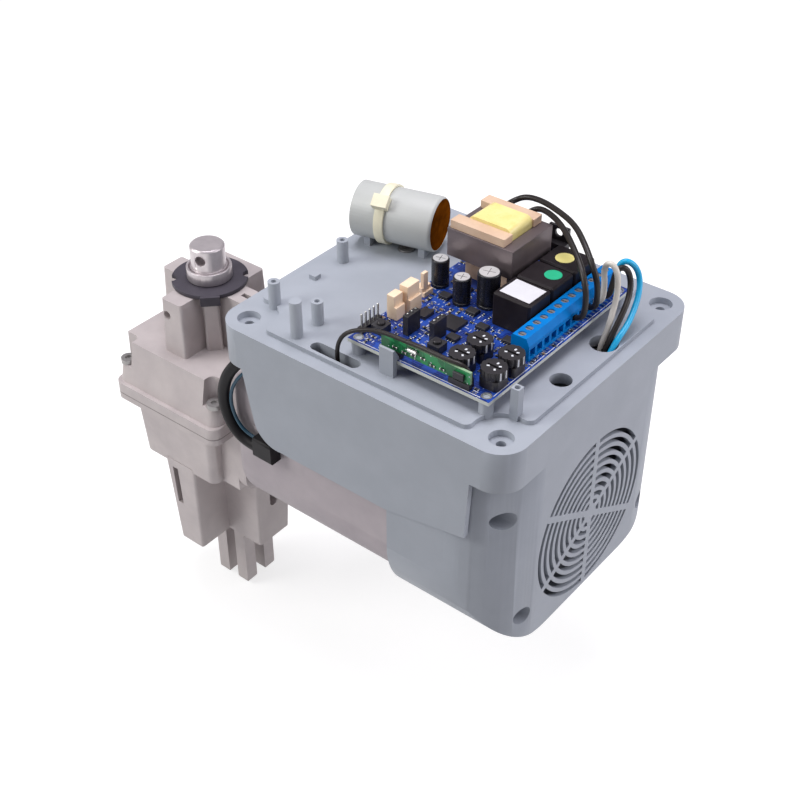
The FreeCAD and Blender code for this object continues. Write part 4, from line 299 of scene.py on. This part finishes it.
def solder_mask(name, light, dark, copper_tone, edge_tone, faces_along):
    """Finish of a board whose two faces look along the given axis; millimetres."""
    field_width, field_from = 5.0, 0.62
    track_width, track_length, track_pitch = 0.13, 5.2, 1.1
    hole_pitch, hole_share, plating = 2.6, 0.13, "b9c0c9"
    cut_below, black, white = 0.5, (0, 0, 0, 1), (1, 1, 1, 1)
    made = finish(name, light, dark, grain=0.25, rough=0.3)
    tree = made.node_tree
    coordinates = add(tree, "ShaderNodeTexCoord")
    place = coordinates.outputs["Object"]
    fields = add(tree, "ShaderNodeTexVoronoi", distance="CHEBYCHEV", Vector=place,
                 Scale=1 / (field_width * MM))
    field = add(tree, "ShaderNodeSeparateXYZ", Vector=fields.outputs["Color"])
    poured = add(tree, "ShaderNodeMath", field.outputs["X"], field_from, operation="GREATER_THAN")
    paint_over(made, poured.outputs["Value"], copper_tone)
    tracks = add(tree, "ShaderNodeTexBrick", Vector=place, Scale=1.0, Color1=black, Color2=black,
                 Mortar=white, Mortar_Size=track_width * MM, Brick_Width=track_length * MM,
                 Row_Height=track_pitch * MM)
    paint_over(made, tracks.outputs["Color"], copper_tone)
    holes = add(tree, "ShaderNodeTexVoronoi", Vector=place, Scale=1 / (hole_pitch * MM))
    plated = add(tree, "ShaderNodeMath", holes.outputs["Distance"], hole_share,
                 operation="LESS_THAN")
    paint_over(made, plated.outputs["Value"], plating)
    facing = add(tree, "ShaderNodeSeparateXYZ", Vector=coordinates.outputs["Normal"])
    along = add(tree, "ShaderNodeMath", facing.outputs[faces_along], operation="ABSOLUTE")
    cut = add(tree, "ShaderNodeMath", along.outputs["Value"], cut_below, operation="LESS_THAN")
    paint_over(made, cut.outputs["Value"], edge_tone)
    return made


blue_mask = solder_mask("blue solder mask", "152f7d", "0f2466", copper_tone="2249a4",
                        edge_tone="c9cdc6", faces_along="Z")
green_mask = solder_mask("green solder mask", "146a3c", "0f5630", copper_tone="1f8a4e",
                         edge_tone="8fae8c", faces_along="Y")
dress(blue_mask, "control_board")
dress(green_mask, "receiver_board")


# Small parts on the board: moulded chips, resistors and ceramic capacitors with tinned ends, bare
# pads and printed marks, set in rows on whatever is bare; tinned rings round the fixing holes.
def piece(name, mesh, material, body="chassis"):
    """Puts a finished mesh on its body."""
    data = bpy.data.meshes.new(name)
    mesh.to_mesh(data)
    mesh.free()
    data.materials.append(material)
    made = bpy.data.objects.new(name, data)
    scene.collection.objects.link(made)
    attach(made, body)


def block(mesh, middle, size, turn=0.0, edge=0.0):
    """Adds a block to a mesh, turned about the upright, with eased edges; millimetres."""
    place = Matrix.Translation(Vector(middle) * MM) @ Matrix.Rotation(turn, 4, "Z")
    shape = Matrix.Diagonal((*(Vector(size) * MM), 1.0))
    corners = bmesh.ops.create_cube(mesh, size=1.0, matrix=place @ shape)["verts"]
    if edge:
        edges = {e for corner in corners for e in corner.link_edges}
        bmesh.ops.bevel(mesh, geom=list(edges), offset=edge * MM, segments=1, profile=0.5,
                        affect="EDGES", material=-1)


def thicken(mesh, faces, height):
    """Raises flat faces to closed plates; millimetres."""
    raised = bmesh.ops.extrude_face_region(mesh, geom=faces, use_keep_orig=True)["geom"]
    bmesh.ops.translate(mesh, vec=(0, 0, height * MM),
                        verts=[g for g in raised if isinstance(g, bmesh.types.BMVert)])


# Tin plate glints, moulded epoxy is a dull black, fired ceramic a dull tan, and ink a flat white.
tin = finish("tin plate", "c9c9c6", "b2b2af", grain=0.4, rough=0.3, metal=0.9)
chip_moulding = finish("black epoxy moulding", "2b2a2e", "212024", grain=0.4, rough=0.45)
ceramic = finish("tan capacitor ceramic", "9a7a58", "7d6145", grain=0.4, rough=0.45)
# The white ink also draws the painted highlights on the trimmer discs' sides.
print_ink_and_highlight = finish("white printing ink and painted highlights", "dfe2e6", "cfd3d9", grain=0.3, rough=0.6)
board_low, board_high = (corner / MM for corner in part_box("control_board"))
board_top = board_high.z
board_middle, board_size = (board_low + board_high) / 2, board_high - board_low
sight = bpy.context.evaluated_depsgraph_get()


def is_bare(x, y, reach):
    """True where nothing stands on the board within reach of the place, seen straight down."""
    shares, eye_height, down = (0.0, -1.0, 1.0, -0.5, 0.5), 40.0, Vector((0.0, 0.0, -1.0))
    for across, along in ((a, b) for a in shares for b in shares):
        eye = Vector((x + across * reach, y + along * reach, board_top + eye_height)) * MM
        hit, _, _, _, thing, _ = scene.ray_cast(sight, eye, down)
        if not hit or thing.name != nodes["control_board"].name:
            return False
    return True


chips, ceramics, ends, marks = (bmesh.new() for n in range(4))
draw = random.Random(41)

# Eight-legged chips, up to six, each where it finds room.
chip_tries, chips_wanted, chip_reach, chip_gap = 160, 6, 3.3, 8.0
chip_long, chip_wide, chip_thick, chip_lift, chip_edge = 4.9, 3.9, 1.5, 0.1, 0.15
leg_wide, leg_long, leg_thick, leg_pitch, leg_edge = 0.5, 1.0, 0.5, 1.27, 0.1
taken = []
for attempt in range(chip_tries):
    x = draw.uniform(board_low.x, board_high.x)
    y = draw.uniform(board_low.y, board_high.y)
    clear = all(math.hypot(x - u, y - v) > chip_gap for u, v in taken)
    if len(taken) < chips_wanted and clear and is_bare(x, y, chip_reach):
        taken.append((x, y))
        block(chips, (x, y, board_top + chip_lift + chip_thick / 2),
              (chip_long, chip_wide, chip_thick), edge=chip_edge)
        for n in range(8):
            across = (n % 4 - 1.5) * leg_pitch
            along = (n // 4 - 0.5) * (chip_wide + leg_long)
            block(ends, (x + across, y + along, board_top + leg_thick / 2),
                  (leg_wide, leg_long, leg_thick), edge=leg_edge)

# Rows of resistors, ceramics and bare pads, with a printed stroke beside most of them. The three
# limits part the draws from 0 to 1 into those kinds, and what is above the last has no part.
row_step, first_row, row_shift = 2.5, 0.7, 0.3
column_step, first_column, column_shift = 3.1, 0.6, 0.5
resistor_limit, ceramic_limit, pad_limit = 0.3, 0.5, 0.72
smallest, largest = 0.75, 1.3
resistor_thick, ceramic_thick, part_edge = 0.55, 0.8, 0.08
body_long, part_wide, end_long, end_at = 1.1, 1.0, 0.5, 0.8
pad_long, pad_wide, pad_thick = 0.8, 0.9, 0.08
ink_wide, ink_thick, ink_at, ink_shortest, ink_longest = 0.3, 0.06, 0.95, 0.8, 2.2
spot_reach, chip_room_x, chip_room_y = 1.2, 3.6, 4.2
for column in range(int(board_size.x / column_step)):
    for row in range(int(board_size.y / row_step)):
        x = board_low.x + (column + first_column) * column_step
        x += draw.uniform(-column_shift, column_shift)
        y = board_low.y + (row + first_row) * row_step
        y += draw.uniform(-row_shift, row_shift)
        kind, grown = draw.random(), draw.uniform(smallest, largest)
        turn = draw.choice((0.0, math.pi / 2))
        by_chip = any(abs(x - u) < chip_room_x and abs(y - v) < chip_room_y for u, v in taken)
        if by_chip or not is_bare(x, y, spot_reach):
            continue
        ahead = Vector((math.cos(turn), math.sin(turn), 0.0))
        beside = Vector((-ahead.y, ahead.x, 0.0))
        to_end = ahead * end_at * grown
        if kind < ceramic_limit:
            is_resistor = kind < resistor_limit
            body, thick = (chips, resistor_thick) if is_resistor else (ceramics, ceramic_thick)
            middle = Vector((x, y, board_top + thick / 2))
            block(body, middle, (body_long * grown, part_wide * grown, thick), turn, part_edge)
            for way in (-1, 1):
                block(ends, middle + to_end * way, (end_long * grown, part_wide * grown, thick),
                      turn, part_edge)
        elif kind < pad_limit:
            middle = Vector((x, y, board_top + pad_thick / 2))
            for way in (-1, 1):
                block(ends, middle + to_end * way, (pad_long * grown, pad_wide * grown, pad_thick),
                      turn)
        if kind > resistor_limit:
            block(marks, Vector((x, y, board_top + ink_thick / 2)) + beside * ink_at,
                  (draw.uniform(ink_shortest, ink_longest), ink_wide, ink_thick), turn)

# A row of pads in front of the terminals, and a printed line along two edges of the board.
row_inset, row_margin, row_pitch, row_pad_long = 2.6, 8.0, 2.54, 1.7
for n in range(int((board_size.y - 2 * row_margin) / row_pitch)):
    block(ends, (board_high.x - row_inset, board_low.y + row_margin + n * row_pitch,
                 board_top + pad_thick / 2), (row_pad_long, pad_wide, pad_thick))
line_inset_x, line_inset_y, line_shortened = 1.0, 0.9, 9.0
block(marks, (board_middle.x, board_low.y + line_inset_y, board_top + ink_thick / 2),
      (board_size.x - line_shortened, ink_wide, ink_thick))
block(marks, (board_high.x - line_inset_x, board_middle.y, board_top + ink_thick / 2),
      (ink_wide, board_size.y - line_shortened, ink_thick))

# Tinned rings round the four fixing holes.
hole_inset, ring_radii, ring_thick = 3.2, (1.65, 2.2), 0.06
for hole_x in (board_low.x + hole_inset, board_high.x - hole_inset):
    for hole_y in (board_low.y + hole_inset, board_high.y - hole_inset):
        middle = Matrix.Translation(Vector((hole_x, hole_y, board_top)) * MM)
        rims = [bmesh.ops.create_circle(ends, segments=40, radius=radius * MM, matrix=middle)
                for radius in ring_radii]
        edges = {e for rim in rims for v in rim["verts"] for e in v.link_edges}
        thicken(ends, bmesh.ops.bridge_loops(ends, edges=list(edges))["faces"], ring_thick)
bmesh.ops.recalc_face_normals(ends, faces=ends.faces[:])
piece("board_resistors", chips, chip_moulding)
piece("board_ceramics", ceramics, ceramic)
piece("board_tinning", ends, tin)
piece("board_print", marks, print_ink_and_highlight)

# Receiver strip: the same small parts soldered to the face of the upright green board, with a
# metal crystal can and one moulded chip near its end.
strip_low, strip_high = (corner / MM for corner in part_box("receiver_board"))
strip_face = strip_low.y
strip_parts, first_at, strip_step, lowest, highest = 6, 7.0, 4.6, 1.0, 2.6
strip_long, strip_end_at, strip_thick, strip_tall = 1.3, 0.9, 0.6, 0.9
strip_chips, strip_ends = bmesh.new(), bmesh.new()
for n in range(strip_parts):
    x = strip_low.x + first_at + n * strip_step
    y, z = strip_face - strip_thick / 2, strip_low.z + draw.uniform(lowest, highest)
    block(strip_chips, (x, y, z), (strip_long, strip_thick, strip_tall), edge=part_edge)
    for way in (-1, 1):
        block(strip_ends, (x + strip_end_at * way, y, z), (end_long, strip_thick, strip_tall),
              edge=part_edge)
strip_chip_in, strip_chip_out, strip_chip_up, strip_chip_size = 5.0, 0.6, 2.4, (5.0, 1.2, 3.0)
crystal_in, crystal_out, crystal_up, crystal_size = 16.0, 0.8, 4.2, (4.6, 1.4, 1.4)
block(strip_chips, (strip_high.x - strip_chip_in, strip_face - strip_chip_out,
                    strip_low.z + strip_chip_up), strip_chip_size, edge=chip_edge)
block(strip_ends, (strip_low.x + crystal_in, strip_face - crystal_out,
                   strip_low.z + crystal_up), crystal_size, edge=0.3)
piece("receiver_chips", strip_chips, chip_moulding)
piece("receiver_tinning", strip_ends, tin)

# Transformer: a nylon former on a stack of half-millimetre steel sheets, too thin to show one by
# one and drawn as soft level bands 7.5 mm apart, with its winding wrapped in yellow polyester tape.

# The sheets are a dull warm grey, the tape smooth and shiny, and natural nylon a waxy peach.
core_steel = finish("stacked core sheets", "7d7274", "716668", grain=0.3, rough=0.4,
                    metal=0.45, broad=60)
core_tree = core_steel.node_tree
band_pitch, band_tone, band_depth, wave_radians = 7.54, "584f51", 0.3, 20
sheets = add(core_tree, "ShaderNodeTexWave", bands_direction="Z", Distortion=0.0,
             Scale=2 * math.pi / (wave_radians * band_pitch * MM),
             Vector=add(core_tree, "ShaderNodeTexCoord").outputs["Object"])
bands = add(core_tree, "ShaderNodeMath", sheets.outputs["Fac"], band_depth, operation="MULTIPLY")
paint_over(core_steel, bands.outputs["Value"], band_tone)
yellow_tape = finish("yellow polyester tape", "f0e29c", "e8d886", grain=0.8, rough=0.3, broad=6)
former_nylon = finish("natural nylon former", "dcc0a6", "d2b398", grain=0.6, rough=0.42)
dress(core_steel, "transformer_core", edge=0.25)
dress(yellow_tape, "transformer_coil", edge=0.5)
dress(former_nylon, "transformer_bobbin", edge=0.3)

# Relays: sealed black thermoplastic cases soldered straight to the board, the first with a blank
# paper label and the others each with a round inspection sticker.

# The moulded cases stay nearly black, with little shine; paper is matt.
relay_black = finish("black relay thermoplastic", "272225", "1f1a1d", grain=0.4, rough=0.4,
                     shine=0.15)
label_paper = finish("white label paper", "d8d8dc", "d0d0d5", grain=0.4, rough=0.6)
dress(relay_black, "relays", edge=0.5)
relay_low, relay_high = (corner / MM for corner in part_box("relays"))
paper_thick, glue_thick = 0.12, 0.01
relay_top = relay_high.z + glue_thick
label_in_x, label_in_y, label_turn = 9.4, 7.8, math.radians(-2)
label_size = (14.6, 11.6, paper_thick)
label = bmesh.new()
block(label, (relay_low.x + label_in_x, relay_low.y + label_in_y, relay_top + paper_thick / 2),
      label_size, label_turn)
piece("relay_label", label, label_paper)
stickers = (("green_sticker", 12.0, 25.6, 3.7, "14b484", "10a878"),
            ("yellow_sticker", 8.4, 39.6, 4.0, "f2e896", "eadf86"))
for name, in_x, in_y, radius, light, dark in stickers:
    disc = bmesh.new()
    middle = Vector((relay_low.x + in_x, relay_low.y + in_y, relay_top))
    bmesh.ops.create_circle(disc, cap_ends=True, segments=48, radius=radius * MM,
                            matrix=Matrix.Translation(middle * MM))
    thicken(disc, disc.faces[:], paper_thick)
    bmesh.ops.recalc_face_normals(disc, faces=disc.faces[:])
    paper = finish(name.replace("_", " ") + " paper", light, dark, grain=0.4, rough=0.55)
    piece(name, disc, paper)

# Screw terminals: one moulded polyamide strip of thirteen poles, soldered along the board's edge,
# with plated screws in its wells. The plastic is a strong, even blue with little shine.
terminal_blue = finish("blue terminal polyamide", "007ccc", "0070bf", grain=0.5, rough=0.36,
                       shine=0.12)
dress(terminal_blue, "terminal_block", edge=0.2)
dress(zinc, "terminal_screws")

# Trimmers: black thumb discs on square bases, with white printed setting marks round the slot and
# pale bars down one side of each disc that are painted highlights. The moulded plastic is black and
# half shiny.
black_moulding = finish("black moulded thermoplastic", "29262a", "201e22", grain=0.4, rough=0.4)
dress(black_moulding, "trimmer_bases", edge=0.15)
mark_turns, mark_reach, mark_size = (0.5, 1.5, 3.6, 5.4), 2.3, (1.1, 0.8, ink_thick)
# The pale bars down each disc's side are painted highlights, drawn in the white ink.
highlight_turns, highlight_sunk, highlight_drop, highlight_size = (-0.45, 0.1), 0.05, 1.8, (0.2, 0.7, 3.4)
for n in range(1, 5):
    knob = f"trimmer_knob_{n}"
    dress(black_moulding, knob, edge=0.2)
    low, high = (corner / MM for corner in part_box(knob))
    middle = (low + high) / 2
    highlight_reach = (high.x - low.x) / 2 - highlight_sunk
    dots = bmesh.new()
    for turns, reach, height, size in (
            (mark_turns, mark_reach, high.z + ink_thick / 2, mark_size),
            (highlight_turns, highlight_reach, high.z - highlight_drop, highlight_size)):
        for turn in turns:
            block(dots, (middle.x + reach * math.cos(turn), middle.y + reach * math.sin(turn),
                         height), size, turn)
    piece(f"trimmer_marks_and_highlights_{n}", dots, print_ink_and_highlight, f"trimmer_{n}")

# Electrolytic capacitors: black shrink sleeves drawn over aluminium cans, whose bare scored tops
# show inside the sleeve's rolled edge; a pale stripe marks the negative side.

# The shrunk sleeve is smooth and shiny, and the drawn can's top a pale satin.
sleeve_black = finish("black shrink sleeve", "25252a", "1c1c20", grain=0.4, rough=0.28)
bare_can = finish("bare aluminium can", "e4e4e4", "d8d8d8", grain=0.4, rough=0.35, metal=0.5)
dress(sleeve_black, "electrolytic_capacitors")
sleeve_roll, top_sunk, top_thick = 0.6, 0.05, 0.15
score_turn, score_share, score_wide, score_thick, score_at = 0.3, 1.1, 0.22, 0.04, 0.11
stripe_gap, stripe_thick, stripe_foot, stripe_head = 0.04, 0.05, 3.4, 1.0
stripe_turn, stripe_span = math.radians(70), math.radians(60)
tops, scores, stripes = bmesh.new(), bmesh.new(), bmesh.new()
cans = ((108.7, 30.5, 3.8, 13.0), (124.0, 25.0, 3.8, 12.5), (133.6, 30.3, 4.8, 16.0))
for x, y, radius, height in cans:
    top = board_top + height
    lid = bmesh.ops.create_circle(
        tops, cap_ends=True, segments=40, radius=(radius - sleeve_roll) * MM,
        matrix=Matrix.Translation(Vector((x, y, top - top_sunk)) * MM))["verts"]
    thicken(tops, list({f for v in lid for f in v.link_faces}), top_thick)
    for turn in (score_turn, score_turn + math.pi / 2):
        block(scores, (x, y, top + score_at), (radius * score_share, score_wide, score_thick), turn)
    side = x + radius + stripe_gap
    foot = stripes.verts.new(Vector((side, y, board_top + stripe_foot)) * MM)
    head = stripes.verts.new(Vector((side, y, top - stripe_head)) * MM)
    start = stripes.edges.new((foot, head))
    axis_at = Vector((x, y, 0.0)) * MM
    bmesh.ops.rotate(stripes, verts=[foot, head], cent=axis_at,
                     matrix=Matrix.Rotation(stripe_turn, 3, "Z"))
    bmesh.ops.spin(stripes, geom=[foot, head, start], cent=axis_at, axis=(0, 0, 1),
                   angle=stripe_span, steps=8)
bmesh.ops.recalc_face_normals(tops, faces=tops.faces[:])
bmesh.ops.recalc_face_normals(stripes, faces=stripes.faces[:])
bmesh.ops.solidify(stripes, geom=stripes.faces[:], thickness=stripe_thick * MM)
piece("electrolytic_tops", tops, bare_can)
piece("electrolytic_scores", scores, chip_moulding)
piece("electrolytic_stripes", stripes, print_ink_and_highlight)

# Headers, connectors, chips and push buttons: bodies moulded in black plastic or natural nylon,
# soldered to the board, with tinned pins; bent shells of blackened steel hold the two buttons.

# Natural nylon is a pale, waxy peach, and the blackened steel keeps a faint sheen.
connector_nylon = finish("natural nylon connector", "f8dfc2", "f0d2b2", grain=0.6, rough=0.42)
shell_steel = finish("blackened spring steel", "4a494d", "3e3d41", grain=0.4, rough=0.4, metal=0.6)
dress(connector_nylon, "wire_connectors", "motor_plug", edge=0.3)
dress(black_moulding, "pin_headers", "control_chips", "tact_button_1", "tact_button_2", edge=0.15)
dress(shell_steel, "tact_switch_bodies", edge=0.15)
pin_pitch, pin_edge, bare_pins = 2.54, 0.15, 5
bare_row_x, bare_row_y, bare_pin_at, bare_pin_size = 106.0, -17.4, 5.55, (0.72, 0.72, 6.0)
header_places, header_pin_at = ((121.0, -4.4), (132.0, -1.5)), 9.4
header_pin_size = (0.64, 0.64, 0.8)
pins = bmesh.new()
for n in range(bare_pins):
    block(pins, (bare_row_x, bare_row_y + n * pin_pitch, board_top + bare_pin_at), bare_pin_size,
          edge=pin_edge)
for x, y in header_places:
    for n in (-1, 0, 1):
        block(pins, (x, y + n * pin_pitch, board_top + header_pin_at), header_pin_size,
              edge=pin_edge)
piece("header_pins", pins, tin)

# Studio: a pale floor under the prongs' tips that shows white to the eye but keeps the shadow,
# even surroundings, and large soft lamps overhead, at the front and beyond the fan end.
floor_half, floor_drop, floor_lift = 4.0, 0.0005, 0.7
floor_mesh = bmesh.new()
bmesh.ops.create_grid(floor_mesh, x_segments=1, y_segments=1, size=floor_half,
                      matrix=Matrix.Translation((0.0, 0.0, size_at_load[0].z - floor_drop)))
floor_data = bpy.data.meshes.new("floor")
floor_mesh.to_mesh(floor_data)
floor_mesh.free()
floor = bpy.data.objects.new("floor", floor_data)
scene.collection.objects.link(floor)
pale_floor = finish("pale studio floor", "b2b2b2", "b0b0b0", grain=20.0, rough=0.9, shine=0.0)
floor_tree = pale_floor.node_tree
seen_by = add(floor_tree, "ShaderNodeLightPath")
shown = add(floor_tree, "ShaderNodeMath", seen_by.outputs["Is Camera Ray"],
            seen_by.outputs["Is Glossy Ray"], operation="MAXIMUM")
lift = add(floor_tree, "ShaderNodeMath", shown.outputs["Value"], floor_lift, operation="MULTIPLY")
add(floor_tree, floor_tree.nodes["Principled BSDF"], Emission_Color=hexa("ffffff"),
    Emission_Strength=lift.outputs["Value"])
floor_data.materials.append(pale_floor)
neutral, violet = hexa("fffefb"), hexa("fcf9ff")
lamps_aim = Vector((0.09, 0.03, -0.05))
for name, place, side, watts, tint in (("key", (-0.65, -0.8, 0.65), 0.6, 9.0, neutral),
                                       ("fill", (1.0, 0.5, 0.4), 0.6, 5.3, violet),
                                       ("top", (0.0, 0.1, 1.1), 0.65, 10.2, violet)):
    lamp = bpy.data.objects.new(name, bpy.data.lights.new(name, "AREA"))
    lamp.data.size = side
    lamp.data.energy = watts
    lamp.data.color = tint[:3]
    lamp.location = place
    lamp.rotation_mode = "QUATERNION"
    lamp.rotation_quaternion = (lamps_aim - Vector(place)).to_track_quat("-Z", "Y")
    scene.collection.objects.link(lamp)
sky_lights, sky_shows = 0.32, 1.1
world = bpy.data.worlds.new("studio")
world.use_nodes = True
sky = world.node_tree
direct = add(sky, "ShaderNodeLightPath").outputs["Is Camera Ray"]
brightness = add(sky, "ShaderNodeMapRange", Value=direct, To_Min=sky_lights, To_Max=sky_shows)
add(sky, sky.nodes["Background"], Color=violet, Strength=brightness.outputs["Result"])
scene.world = world
scene.view_settings.view_transform = "Standard"
